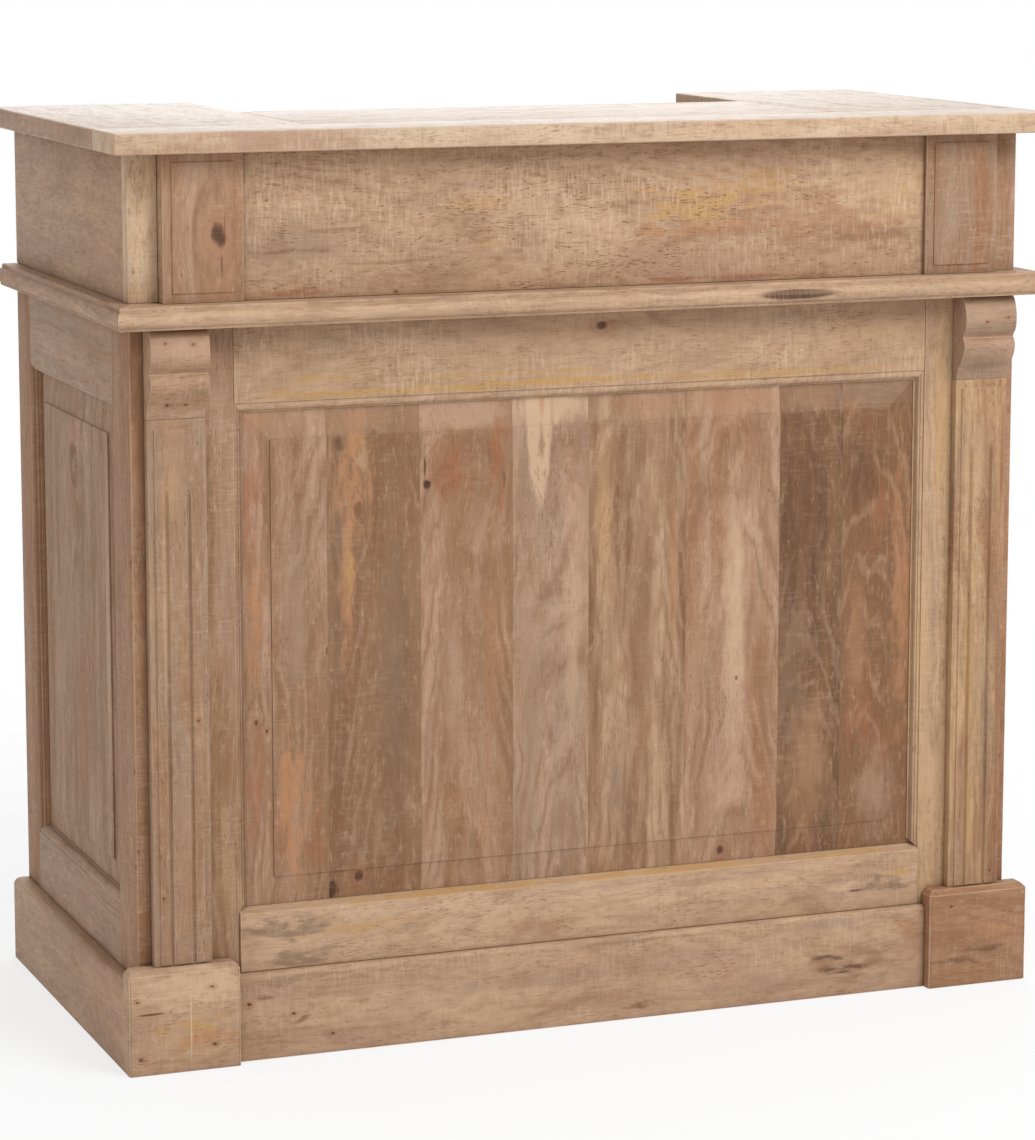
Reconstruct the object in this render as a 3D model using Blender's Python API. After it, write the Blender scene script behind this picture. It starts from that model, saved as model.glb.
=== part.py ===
"""Bar cabinet in solid wood, built piece by piece as it would come apart on a bench.

The front (customer side) faces -Y, the working side faces +Y, +Z is up, and the origin is on
the floor at the centre of the counter's outline. All sizes are in metres.
"""

import math

import bmesh
import bpy

# Overall size: the counter's outline and its top surface.
WIDTH = 1.200
DEPTH = 0.590
HEIGHT = 1.110

# Clearance between faces that touch, and the small chamfer on every sawn edge.
TOUCH = 0.0003
EASE = 0.0012

# U-shaped counter.
COUNTER_THICK = 0.025
COUNTER_FRONT_BOARD = 0.099
WING_WIDTH = 0.259
BAR_DEPTH = 0.368
SIDE_OVERHANG = 0.0275
BACK_OVERHANG = 0.002
COUNTER_EASE = 0.0022

# Heights counted down from the counter.
UPPER_BOX_HEIGHT = 0.174
WORKTOP_THICK = 0.022
CORNICE_HEIGHT = 0.027
TOP_RAIL_WIDTH = 0.099

# Levels above the floor.
SIDE_OPENING_BOTTOM = 0.181
RAIL_NOSE_LEVEL = 0.1785
RAIL_CHAMFER_RISE = 0.006
PLINTH_HEIGHT = 0.107
BASE_BLOCK_HEIGHT = 0.127
FLOOR_BOARD_LEVEL = 0.112
FLOOR_BOARD_THICK = 0.022
BOTTOM_RAIL_FOOT = 0.060

# Depth of each front plane behind the counter's front edge.
FRIEZE_SETBACK = 0.040
CORNER_STRIP_SETBACK = 0.053
FRAME_SETBACK = 0.049
SIDE_FRAME_SETBACK = 0.052

# Frieze, corner strips and boards of the upper box.
FRIEZE_THICK = 0.022
BLOCK_WIDTH = 0.0975
BLOCK_BASE_THICK = 0.0060
BLOCK_FIELD_RAISE = 0.0014
BLOCK_MARGIN = 0.011
CORNER_STRIP_WIDTH = 0.036
CORNER_STRIP_THICK = 0.020
UPPER_SIDE_THICK = 0.022
WING_INNER_THICK = 0.018
WING_INNER_INSET = 0.015

# Front frame with its moulded inner edge, and the raised panel in it.
FRAME_THICK = 0.022
FRONT_STILE_WIDTH = 0.1016
STICKING_WIDTH = 0.0116
STICKING_DEPTH = 0.009
STICKING_QUIRK = 0.0012
STICKING_FILLET = 0.0022
OVOLO_STEPS = 4
RAIL_PROUD = 0.0035
BEVEL_WIDTH = 0.033
BEVEL_RISE = 0.0025
FIELD_SHOULDER = 0.0018

# Side frames.
SIDE_THICK = 0.022
SIDE_FRONT_STILE = 0.079
SIDE_BACK_STILE = 0.062

# Pilasters, corbels and base.
PILASTER_OUTER = 0.0155
PILASTER_WIDTH = 0.0705
PILASTER_THICK = 0.0120
PILASTER_MARGIN = 0.0070
PILASTER_FIELD_RAISE = 0.0025
PILASTER_TOP_MARGIN = 0.010
FLUTE_SPACING = 0.027
FLUTE_WIDTH = 0.006
FLUTE_DEPTH = 0.003
FLUTE_DROP = 0.0892
CORBEL_HEIGHT = 0.1068
CORBEL_TOP_DEPTH = 0.0205
CORBEL_UPPER_BULGE = 0.0360
CORBEL_UPPER_DROP = 0.0310
CORBEL_NECK_DEPTH = 0.0230
CORBEL_NECK_DROP = 0.0514
CORBEL_LOWER_BULGE = 0.0325
CORBEL_LOWER_DROP = 0.0640
CORBEL_SWEEP_STEPS = 7
BASE_BLOCK_THICK = 0.0247
BASE_BLOCK_WIDTH = 0.1375
BASE_BLOCK_CHAMFER = 0.0065
BASE_BLOCK_ROUND = 0.0030
PLINTH_THICK = 0.020
PLINTH_ROUND = 0.009
BASEBOARD_THICK = 0.0107
BASEBOARD_ROUND = 0.006

# Cornice profile, measured in from its nose.
CORNICE_FILLET_SET = 0.0060
CORNICE_FILLET_HEIGHT = 0.0040
CORNICE_ROLL_TOP = 0.0215
CORNICE_ROLL_FOOT = 0.0045
CORNICE_ROLL_SET = 0.0065
CORNICE_QUIRK = 0.0016
CORNICE_SIDES = 8

# Inside of the cabinet.
BACK_RECESS = 0.025
CENTRE_BAY = 0.360
PARTITION_THICK = 0.018
SHELF_THICK = 0.018
SHELF_LEVEL = 0.500
SHELF_HOUSING = 0.006
SHELF_SETBACK = 0.030
BACK_BASEBOARD_THICK = 0.022

# Doors.
DOOR_THICK = 0.020
DOOR_GAP = 0.002
DOOR_STILE = 0.056
DOOR_RAIL = 0.070
DOOR_STICKING_WIDTH = 0.009
DOOR_STICKING_DEPTH = 0.007
DOOR_BEVEL_WIDTH = 0.026
DOOR_KNOB_LEVEL = 0.560

# Butt hinges.
HINGE_HEIGHT = 0.060
HINGE_LEAF = 0.0011
HINGE_LEAF_GAP = 0.0004
HINGE_LEAF_WIDTH = 0.017
HINGE_BARREL = 0.0030
HINGE_PIN = 0.0012
HINGE_BORE = 0.0015
HINGE_FROM_END = 0.105
HINGE_TAB_END = 0.0022
HINGE_SIDES = 16

# Drawers in the wings.
DRAWER_FRONT_THICK = 0.018
DRAWER_GAP = 0.002
DRAWER_SIDE_CLEAR = 0.0015
DRAWER_WALL = 0.010
DRAWER_BOTTOM = 0.008
DRAWER_HEADROOM = 0.0484

# Turned knobs.
KNOB_RADIUS = 0.0150
KNOB_NECK = 0.0065
KNOB_FOOT = 0.0085
KNOB_FOOT_LENGTH = 0.0020
KNOB_NECK_START = 0.0050
KNOB_NECK_END = 0.0085
KNOB_LENGTH = 0.0215
KNOB_SIDES = 20

# Planes worked out from the sizes above; x planes are for the right-hand half.
FRONT_Y = -DEPTH / 2
BACK_Y = DEPTH / 2
COUNTER_BASE = HEIGHT - COUNTER_THICK
WORKTOP_LEVEL = COUNTER_BASE - UPPER_BOX_HEIGHT
SIDE_OUTER = WIDTH / 2 - SIDE_OVERHANG
SIDE_INNER = SIDE_OUTER - SIDE_THICK
CARCASS_BACK = BACK_Y - BACK_OVERHANG
WING_INNER_EDGE = WIDTH / 2 - WING_WIDTH
RECESS_FRONT = FRONT_Y + BAR_DEPTH
FRIEZE_FACE = FRONT_Y + FRIEZE_SETBACK
FRIEZE_BACK = FRIEZE_FACE + FRIEZE_THICK
STRIP_FACE = FRONT_Y + CORNER_STRIP_SETBACK
STRIP_BACK = STRIP_FACE + CORNER_STRIP_THICK
STRIP_INNER = SIDE_OUTER - CORNER_STRIP_WIDTH
FRAME_FACE = FRONT_Y + FRAME_SETBACK
FRAME_BACK = FRAME_FACE + FRAME_THICK
SIDE_FRAME_FRONT = FRONT_Y + SIDE_FRAME_SETBACK
STILE_INNER = SIDE_INNER - TOUCH - FRONT_STILE_WIDTH
WORKTOP_BASE = WORKTOP_LEVEL - WORKTOP_THICK
CORNICE_BASE = WORKTOP_LEVEL - CORNICE_HEIGHT
OPENING_TOP = WORKTOP_BASE - TOP_RAIL_WIDTH
PILASTER_TOP = CORNICE_BASE - CORBEL_HEIGHT
FLUTE_TOP = PILASTER_TOP - FLUTE_DROP
UNDER_WORKTOP = WORKTOP_BASE - TOUCH
ON_WORKTOP = WORKTOP_LEVEL + TOUCH
UNDER_COUNTER = COUNTER_BASE - TOUCH
PLINTH_OUTER = SIDE_OUTER + TOUCH + PLINTH_THICK
FACE_Y = BACK_Y - BACK_RECESS
PARTITION_INNER = CENTRE_BAY / 2
PARTITION_OUTER = PARTITION_INNER + PARTITION_THICK
WING_INNER_IN = WING_INNER_EDGE + WING_INNER_INSET
WING_INNER_OUT = WING_INNER_IN + WING_INNER_THICK
UPPER_SIDE_INNER = SIDE_OUTER - UPPER_SIDE_THICK
HINGE_GAP = 2 * TOUCH + 2 * HINGE_LEAF + HINGE_LEAF_GAP
HINGE_X = SIDE_INNER - TOUCH - HINGE_BARREL
HINGE_Y = FACE_Y + TOUCH + HINGE_BARREL
DOOR_BASE = FLOOR_BOARD_LEVEL + DOOR_GAP
DOOR_TOP = WORKTOP_BASE - DOOR_GAP
DOOR_INNER_X = PARTITION_OUTER + DOOR_GAP
DOOR_OUTER_X = SIDE_INNER - HINGE_GAP

# Colours seen on the pieces (linear), with roughness and metallic.
TAN_WOOD = ((0.42, 0.27, 0.17), 0.75, 0.0)
PINK_WOOD = ((0.38, 0.22, 0.15), 0.75, 0.0)
PALE_WOOD = ((0.52, 0.38, 0.27), 0.75, 0.0)
INNER_WOOD = ((0.45, 0.31, 0.20), 0.80, 0.0)
AGED_BRASS = ((0.36, 0.26, 0.12), 0.45, 1.0)

SIDES = ((-1, "left"), (1, "right"))


def clear_scene():
    """Remove whatever the file holds."""
    for thing in list(bpy.data.objects):
        bpy.data.objects.remove(thing, do_unlink=True)


def material_for(name, look):
    """A Principled material of the piece's own."""
    colour, roughness, metallic = look
    material = bpy.data.materials.new(name + "_finish")
    material.use_nodes = True
    shader = material.node_tree.nodes["Principled BSDF"]
    shader.inputs["Base Color"].default_value = (*colour, 1.0)
    shader.inputs["Roughness"].default_value = roughness
    shader.inputs["Metallic"].default_value = metallic
    material.diffuse_color = (*colour, 1.0)
    return material


def add_piece(name, bm, look, origin=None, parent=None, smooth=False):
    """Turn a bmesh in world coordinates into an object whose origin is where it belongs."""
    bmesh.ops.recalc_face_normals(bm, faces=bm.faces)
    if origin is None:
        low = [min(v.co[i] for v in bm.verts) for i in range(3)]
        high = [max(v.co[i] for v in bm.verts) for i in range(3)]
        origin = [(a + b) / 2 for a, b in zip(low, high)]
    bmesh.ops.translate(bm, verts=bm.verts, vec=[-c for c in origin])
    mesh = bpy.data.meshes.new(name)
    bm.to_mesh(mesh)
    bm.free()
    if smooth:
        mesh.shade_smooth()
        mesh.set_sharp_from_angle(angle=math.radians(35))
    mesh.materials.append(material_for(name, look))
    piece = bpy.data.objects.new(name, mesh)
    bpy.context.collection.objects.link(piece)
    if parent is None:
        piece.location = origin
    else:
        piece.parent = parent
        piece.location = [c - p for c, p in zip(origin, parent.location)]
    return piece


def add_axis(name, point):
    """An empty on a joint's axis, for the moving pieces to hang on."""
    axis = bpy.data.objects.new(name, None)
    axis.empty_display_size = 0.05
    axis.location = point
    bpy.context.collection.objects.link(axis)
    return axis


def new_box(low, high):
    """A bmesh box between two corners, given in any order."""
    bm = bmesh.new()
    bmesh.ops.create_cube(bm, size=1.0)
    for v in bm.verts:
        for i in range(3):
            v.co[i] = max(low[i], high[i]) if v.co[i] > 0 else min(low[i], high[i])
    return bm


def board(name, low, high, look, ease=EASE, segments=1, parent=None, origin=None):
    """A sawn board with eased edges."""
    bm = new_box(low, high)
    shortest = min(abs(a - b) for a, b in zip(low, high))
    bmesh.ops.bevel(bm, geom=bm.edges[:], offset=min(ease, shortest / 4), segments=segments,
                    profile=0.5, affect="EDGES")
    return add_piece(name, bm, look, origin=origin, parent=parent, smooth=segments > 1)


def bevel_where(bm, wanted, offset, segments):
    """Bevel the edges whose middle point passes a test."""
    edges = [e for e in bm.edges if wanted((e.verts[0].co + e.verts[1].co) / 2)]
    bmesh.ops.bevel(bm, geom=edges, offset=offset, segments=segments, profile=0.5,
                    affect="EDGES")


def mirrored_box(side, x_range, y_range, z_range):
    """Corners of a box in the right-hand half, or its mirror image."""
    low = (side * x_range[0], y_range[0], z_range[0])
    high = (side * x_range[1], y_range[1], z_range[1])
    return low, high


def prism(outline, place, start, end):
    """A bmesh that runs an outline of (a, b) points from start(a, b) to end(a, b).

    place(a, b, t) gives the world point; slanted ends make mitres.
    """
    bm = bmesh.new()
    first = [bm.verts.new(place(a, b, start(a, b))) for a, b in outline]
    last = [bm.verts.new(place(a, b, end(a, b))) for a, b in outline]
    count = len(outline)
    for i in range(count):
        j = (i + 1) % count
        bm.faces.new((first[i], first[j], last[j], last[i]))
    bm.faces.new(first)
    bm.faces.new(list(reversed(last)))
    return bm


def arc(centre, radius, start_deg, end_deg, steps):
    """Points of an arc, both ends included."""
    points = []
    for i in range(steps + 1):
        angle = math.radians(start_deg + (end_deg - start_deg) * i / steps)
        points.append((centre[0] + radius * math.cos(angle), centre[1] + radius * math.sin(angle)))
    return points


def loops_body(loops, close):
    """Join rings of equal point count; close='ring' meets its start, 'caps' fills both ends."""
    bm = bmesh.new()
    rings = [[bm.verts.new(p) for p in loop] for loop in loops]
    pairs = list(zip(rings, rings[1:]))
    if close == "ring":
        pairs.append((rings[-1], rings[0]))
    for one, two in pairs:
        for i in range(len(one)):
            j = (i + 1) % len(one)
            bm.faces.new((one[i], one[j], two[j], two[i]))
    if close == "caps":
        bm.faces.new(rings[0])
        bm.faces.new(list(reversed(rings[-1])))
    return bm


def sticking_profile(width, depth):
    """Moulded edge from the face (0, 0) to its tip (width, depth): quirk, ovolo, fillet."""
    ovolo_across = width - STICKING_FILLET - STICKING_QUIRK
    ovolo_deep = depth - STICKING_FILLET - STICKING_QUIRK
    points = [(STICKING_QUIRK, STICKING_QUIRK)]
    for step in range(1, OVOLO_STEPS + 1):
        angle = math.pi / 2 * step / OVOLO_STEPS
        points.append((STICKING_QUIRK + ovolo_across * math.sin(angle),
                       STICKING_QUIRK + ovolo_deep * (1 - math.cos(angle))))
    points.append((width - STICKING_FILLET, depth - STICKING_FILLET / 2))
    points.append((width, depth - STICKING_FILLET / 2))
    points.append((width, depth))
    return points


def rect_ring(place, rect, depth):
    """Four corners of a rectangle (u0, u1, v0, v1) at a depth behind the face."""
    u0, u1, v0, v1 = rect
    return [place(u, v, depth) for u, v in ((u0, v0), (u1, v0), (u1, v1), (u0, v1))]


def inset(rect, amount):
    """The rectangle drawn in by one amount on all sides."""
    u0, u1, v0, v1 = rect
    return (u0 + amount, u1 - amount, v0 + amount, v1 - amount)


def framed_opening(outer, opening, thick, sticking, place):
    """A glued frame with a moulded inner edge in front and a rebate for its panel behind."""
    width, depth = sticking
    rings = [rect_ring(place, outer, EASE), rect_ring(place, inset(outer, EASE), 0),
             rect_ring(place, opening, 0)]
    for across, deep in sticking_profile(width, depth):
        rings.append(rect_ring(place, inset(opening, across), deep))
    rings.append(rect_ring(place, opening, depth))
    rings.append(rect_ring(place, opening, thick))
    rings.append(rect_ring(place, inset(outer, EASE), thick))
    rings.append(rect_ring(place, outer, thick - EASE))
    return loops_body(rings, "ring")


def raised_panel(outer, edge_depth, back_depth, tucked, bevel, place):
    """A panel with a thin edge, a sloping margin, a small shoulder and a flat field.

    tucked gives how much of each side (left, right, bottom, top) is under a moulding.
    """
    u0, u1, v0, v1 = outer
    left, right, bottom, top = tucked
    seen = (u0 + left, u1 - right, v0 + bottom, v1 - top)
    field = inset(seen, bevel)
    rings = [rect_ring(place, outer, back_depth), rect_ring(place, outer, edge_depth),
             rect_ring(place, seen, edge_depth), rect_ring(place, field, edge_depth - BEVEL_RISE),
             rect_ring(place, field, edge_depth - BEVEL_RISE - FIELD_SHOULDER)]
    return loops_body(rings, "caps")


def moulded_member(place, length, width, thick, sticking, run, foot_slope=0.0):
    """A stile or rail with a moulding on part of one edge and a rebate behind the moulding.

    place(w, d, t): w across from the outer edge, d behind the face, t along the length.
    run gives where the moulding starts and ends on the edge; its ends are mitred towards the
    corner, or follow foot_slope in depth where the start isn't mitred.
    """
    t0, t1 = length
    start, end, start_mitre, end_mitre = run
    swidth, sdepth = sticking
    bm = bmesh.new()

    def vert(w, d, t):
        return bm.verts.new(place(w, d, t))

    def begin(w, d):
        return start + (w - width) * start_mitre + d * foot_slope

    def finish(w, d):
        return end - (w - width) * end_mitre

    corners = ((0, 0), (width, 0), (width, sdepth), (width, thick), (0, thick))
    near = [vert(w, d, t0) for w, d in corners]
    far = [vert(w, d, t1) for w, d in corners]
    edge = [(width, 0)] + [(width + w, d) for w, d in sticking_profile(swidth, sdepth)]
    edge.append((width, sdepth))
    starts_flush = abs(start - t0) < 1e-6 and start_mitre
    ends_flush = abs(end - t1) < 1e-6
    m_near = []
    m_far = []
    for k, (w, d) in enumerate(edge):
        if k in (0, len(edge) - 1):
            shared_near = near[1 if k == 0 else 2] if starts_flush else None
            shared_far = far[1 if k == 0 else 2] if ends_flush else None
            m_near.append(shared_near or vert(w, d, begin(w, d)))
            m_far.append(shared_far or vert(w, d, finish(w, d)))
        else:
            m_near.append(vert(w, d, begin(w, d)))
            m_far.append(vert(w, d, finish(w, d)))

    def chain(first, inner_a, inner_b, last):
        """Vertices along an edge of the board, without repeats."""
        out = []
        for v in (first, inner_a, inner_b, last):
            if v not in out:
                out.append(v)
        return out

    front_edge = chain(near[1], m_near[0], m_far[0], far[1])
    back_edge = chain(near[2], m_near[-1], m_far[-1], far[2])
    bm.faces.new([near[0]] + front_edge + [far[0]])
    bm.faces.new(back_edge + [far[3], near[3]])
    bm.faces.new((near[3], far[3], far[4], near[4]))
    bm.faces.new((near[4], far[4], far[0], near[0]))
    bm.faces.new(near)
    bm.faces.new(list(reversed(far)))
    if not starts_flush:
        bm.faces.new((near[1], near[2], m_near[-1], m_near[0]))
    if not ends_flush:
        bm.faces.new((m_far[0], m_far[-1], far[2], far[1]))
    for k in range(len(edge) - 1):
        bm.faces.new((m_near[k], m_near[k + 1], m_far[k + 1], m_far[k]))
    bm.faces.new(m_near)
    bm.faces.new(list(reversed(m_far)))
    return bm


def turned(profile, place, sides):
    """A turned body from (radius, height) points; both ends close on flat caps."""
    loops = []
    for radius, height in profile:
        loops.append([place(radius * math.cos(2 * math.pi * k / sides),
                            radius * math.sin(2 * math.pi * k / sides), height)
                      for k in range(sides)])
    return loops_body(loops, "caps")


def build_counter():
    """Front board, centre board and two wing boards of the U."""
    seam = FRONT_Y + COUNTER_FRONT_BOARD
    half = WIDTH / 2
    levels = (COUNTER_BASE, HEIGHT)
    board("top_front_board", (-half, FRONT_Y, levels[0]), (half, seam, levels[1]), PALE_WOOD,
          COUNTER_EASE)
    inner = WING_INNER_EDGE - TOUCH
    board("top_centre_board", (-inner, seam + TOUCH, levels[0]), (inner, RECESS_FRONT, levels[1]),
          PALE_WOOD, COUNTER_EASE)
    for side, word in SIDES:
        low, high = mirrored_box(side, (WING_INNER_EDGE, half), (seam + TOUCH, BACK_Y), levels)
        board("top_wing_" + word, low, high, PALE_WOOD, COUNTER_EASE)


def build_frieze_block(side, word):
    """A plain block with a slightly raised field, planted on the frieze's end."""
    outer = STRIP_INNER - TOUCH
    rect = (outer - BLOCK_WIDTH, outer, ON_WORKTOP, UNDER_COUNTER)
    back = FRIEZE_FACE - TOUCH

    def place(x, z, out):
        return (side * x, back - out, z)

    rings = [rect_ring(place, rect, 0), rect_ring(place, rect, BLOCK_BASE_THICK - EASE),
             rect_ring(place, inset(rect, EASE), BLOCK_BASE_THICK),
             rect_ring(place, inset(rect, BLOCK_MARGIN), BLOCK_BASE_THICK),
             rect_ring(place, inset(rect, BLOCK_MARGIN + BLOCK_FIELD_RAISE),
                       BLOCK_BASE_THICK + BLOCK_FIELD_RAISE)]
    add_piece("frieze_block_" + word, loops_body(rings, "caps"), TAN_WOOD)


def build_upper_box():
    """Frieze, corner strips, side boards and the wings' inner boards, on the work top."""
    reach = STRIP_INNER - TOUCH
    board("frieze_board", (-reach, FRIEZE_FACE, ON_WORKTOP), (reach, FRIEZE_BACK, UNDER_COUNTER),
          TAN_WOOD)
    levels = (ON_WORKTOP, UNDER_COUNTER)
    for side, word in SIDES:
        build_frieze_block(side, word)
        low, high = mirrored_box(side, (STRIP_INNER, SIDE_OUTER), (STRIP_FACE, STRIP_BACK), levels)
        board("upper_corner_strip_" + word, low, high, TAN_WOOD)
        low, high = mirrored_box(side, (UPPER_SIDE_INNER, SIDE_OUTER),
                                 (STRIP_BACK + TOUCH, CARCASS_BACK), levels)
        board("upper_side_" + word, low, high, PINK_WOOD)
        low, high = mirrored_box(side, (WING_INNER_IN, WING_INNER_OUT),
                                 (FRIEZE_BACK + TOUCH, CARCASS_BACK), levels)
        board("wing_inner_side_" + word, low, high, TAN_WOOD)


def cornice_outline(inner):
    """Cornice section as (distance in from the nose, level), from its inner foot round the nose."""
    roll_low = CORNICE_BASE + CORNICE_FILLET_HEIGHT
    roll_high = CORNICE_BASE + CORNICE_ROLL_TOP
    half = (roll_high - roll_low) / 2
    roll = []
    for k in range(CORNICE_SIDES + 1):
        angle = math.pi * k / CORNICE_SIDES
        inward = CORNICE_ROLL_FOOT if angle < math.pi / 2 else CORNICE_ROLL_SET
        roll.append((inward * (1 - math.sin(angle)), roll_low + half * (1 - math.cos(angle))))
    shelf_edge = CORNICE_ROLL_SET + CORNICE_QUIRK
    return ([(inner, CORNICE_BASE), (CORNICE_FILLET_SET, CORNICE_BASE),
             (CORNICE_FILLET_SET, roll_low)] + roll
            + [(shelf_edge, roll_high), (shelf_edge, WORKTOP_LEVEL - CORNICE_QUIRK),
               (shelf_edge + CORNICE_QUIRK, WORKTOP_LEVEL), (inner, WORKTOP_LEVEL)])


def build_cornice():
    """Three mitred lengths of moulding round the work top's edge."""
    nose_x = WIDTH / 2
    front_reach = FRAME_FACE - TOUCH - FRONT_Y
    side_reach = nose_x - SIDE_OUTER - TOUCH
    half_gap = TOUCH / 2

    def place_front(q, z, t):
        return (t, FRONT_Y + q, z)

    # The mitre runs from the nose's corner to the carcass corner, so its slope is the ratio of
    # the two projections.
    slope = side_reach / front_reach
    bm = prism(cornice_outline(front_reach), place_front,
               lambda q, z: -(nose_x - q * slope) + half_gap,
               lambda q, z: nose_x - q * slope - half_gap)
    add_piece("cornice_front", bm, TAN_WOOD, smooth=True)
    for side, word in SIDES:
        def place_side(q, z, t, side=side):
            return (side * (nose_x - q), t, z)

        bm = prism(cornice_outline(side_reach), place_side,
                   lambda q, z: FRONT_Y + q / slope + half_gap,
                   lambda q, z: CARCASS_BACK)
        add_piece("cornice_" + word, bm, PINK_WOOD, smooth=True)


def build_worktop():
    """The board that the bartender works on, between the lower carcass and the upper box."""
    board("worktop", (-SIDE_OUTER, FRAME_FACE, WORKTOP_BASE),
          (SIDE_OUTER, CARCASS_BACK, WORKTOP_LEVEL), PALE_WOOD, ease=EASE)


def build_front_frame():
    """Two stiles, the top rail and the proud bottom rail round the raised front panel."""
    sticking = (STICKING_WIDTH, STICKING_DEPTH)
    rail_half = STILE_INNER - TOUCH
    chamfer_depth = STICKING_DEPTH + RAIL_PROUD
    foot_rise = RAIL_CHAMFER_RISE / chamfer_depth
    foot = RAIL_NOSE_LEVEL + TOUCH + RAIL_PROUD * foot_rise
    mitre_gap = TOUCH
    for side, word in SIDES:
        def place_stile(w, d, t, side=side):
            return (side * (SIDE_INNER - TOUCH - w), FRAME_FACE + d, t)

        bm = moulded_member(place_stile, (0.0, UNDER_WORKTOP), FRONT_STILE_WIDTH, FRAME_THICK,
                            sticking, (foot, OPENING_TOP - mitre_gap, 0, 1), foot_rise)
        add_piece("front_stile_" + word, bm, TAN_WOOD)

    def place_top(w, d, t):
        return (t, FRAME_FACE + d, UNDER_WORKTOP - w)

    bm = moulded_member(place_top, (-rail_half, rail_half), UNDER_WORKTOP - OPENING_TOP,
                        FRAME_THICK, sticking, (-rail_half, rail_half, 1, 1))
    add_piece("front_top_rail", bm, TAN_WOOD)

    nose = FRAME_FACE - RAIL_PROUD
    crest = RAIL_NOSE_LEVEL + RAIL_CHAMFER_RISE
    back = nose + FRAME_THICK
    over_board = PLINTH_HEIGHT + TOUCH
    outline = [(nose, over_board), (nose, RAIL_NOSE_LEVEL), (nose + chamfer_depth, crest),
               (back, crest), (back, BOTTOM_RAIL_FOOT), (FRAME_FACE, BOTTOM_RAIL_FOOT),
               (FRAME_FACE, over_board)]
    bm = prism(outline, lambda y, z, t: (t, y, z), lambda y, z: -rail_half,
               lambda y, z: rail_half)
    add_piece("front_bottom_rail", bm, TAN_WOOD)

    outer = (-rail_half, rail_half, crest + TOUCH, OPENING_TOP - TOUCH)
    edge_depth = STICKING_DEPTH + TOUCH
    tuck = STICKING_WIDTH - TOUCH

    def place_panel(x, z, d):
        return (x, FRAME_FACE + d, z)

    bm = raised_panel(outer, edge_depth, FRAME_THICK, (tuck, tuck, TOUCH, tuck), BEVEL_WIDTH,
                      place_panel)
    add_piece("front_panel", bm, TAN_WOOD)


def flute_cutter(name, centre_x, floor_y):
    """A V-shaped cutter with a pointed top, run past the pilaster's foot."""
    half = FLUTE_WIDTH / 2
    front = floor_y - FLUTE_DEPTH
    foot = BASE_BLOCK_HEIGHT - 0.01
    outline = [(-half - TOUCH, front - TOUCH), (0, floor_y), (half + TOUCH, front - TOUCH)]
    bm = bmesh.new()
    low = [bm.verts.new((centre_x + x, y, foot)) for x, y in outline]
    high = [bm.verts.new((centre_x + x, y, FLUTE_TOP)) for x, y in outline]
    tip = bm.verts.new((centre_x, front - TOUCH, FLUTE_TOP + FLUTE_WIDTH))
    bm.faces.new(low)
    for i in range(2):
        bm.faces.new((low[i], low[i + 1], high[i + 1], high[i]))
    bm.faces.new((high[0], high[1], tip))
    bm.faces.new((high[1], high[2], tip))
    bm.faces.new((low[2], low[0], high[0], tip, high[2]))
    cutter = add_piece(name, bm, TAN_WOOD)
    cutter.hide_render = True
    cutter.display_type = "WIRE"
    return cutter


def build_pilaster(side, word):
    """A flat board with a raised, twice-fluted field, standing on its base block."""
    outer = SIDE_OUTER - PILASTER_OUTER
    rect = (outer - PILASTER_WIDTH, outer, BASE_BLOCK_HEIGHT + TOUCH, PILASTER_TOP)
    back = FRAME_FACE - TOUCH

    def place(x, z, out):
        return (side * x, back - out, z)

    u0, u1, v0, v1 = rect
    margin = PILASTER_MARGIN
    field = (u0 + margin, u1 - margin, v0 + EASE, v1 - PILASTER_TOP_MARGIN)
    raised = PILASTER_FIELD_RAISE
    slope = raised / 2
    crown = (field[0] + slope, field[1] - slope, field[2] + slope, field[3] - slope)
    rings = [rect_ring(place, rect, 0), rect_ring(place, rect, PILASTER_THICK - EASE / 2),
             rect_ring(place, inset(rect, EASE / 2), PILASTER_THICK),
             rect_ring(place, field, PILASTER_THICK),
             rect_ring(place, crown, PILASTER_THICK + raised)]
    pilaster = add_piece("pilaster_" + word, loops_body(rings, "caps"), TAN_WOOD)
    face_y = back - PILASTER_THICK - raised
    centre = (u0 + u1) / 2
    for number, step in enumerate((-FLUTE_SPACING / 2, FLUTE_SPACING / 2), 1):
        cutter = flute_cutter("flute_cutter_%s_%d" % (word, number), side * (centre + step),
                              face_y + FLUTE_DEPTH)
        cut = pilaster.modifiers.new("flute_%d" % number, "BOOLEAN")
        cut.operation = "DIFFERENCE"
        cut.solver = "EXACT"
        cut.object = cutter


def swell(start, end, steps, outward):
    """A quarter ellipse between two (depth, level) points, its first point left out.

    outward leaves the start level and arrives upright; otherwise it is the other way round.
    """
    points = []
    for i in range(1, steps + 1):
        angle = math.pi / 2 * i / steps
        rise = math.sin(angle)
        fall = math.cos(angle)
        if outward:
            points.append((start[0] + (end[0] - start[0]) * rise,
                           end[1] + (start[1] - end[1]) * fall))
        else:
            points.append((end[0] + (start[0] - end[0]) * fall,
                           start[1] + (end[1] - start[1]) * rise))
    return points


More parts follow.
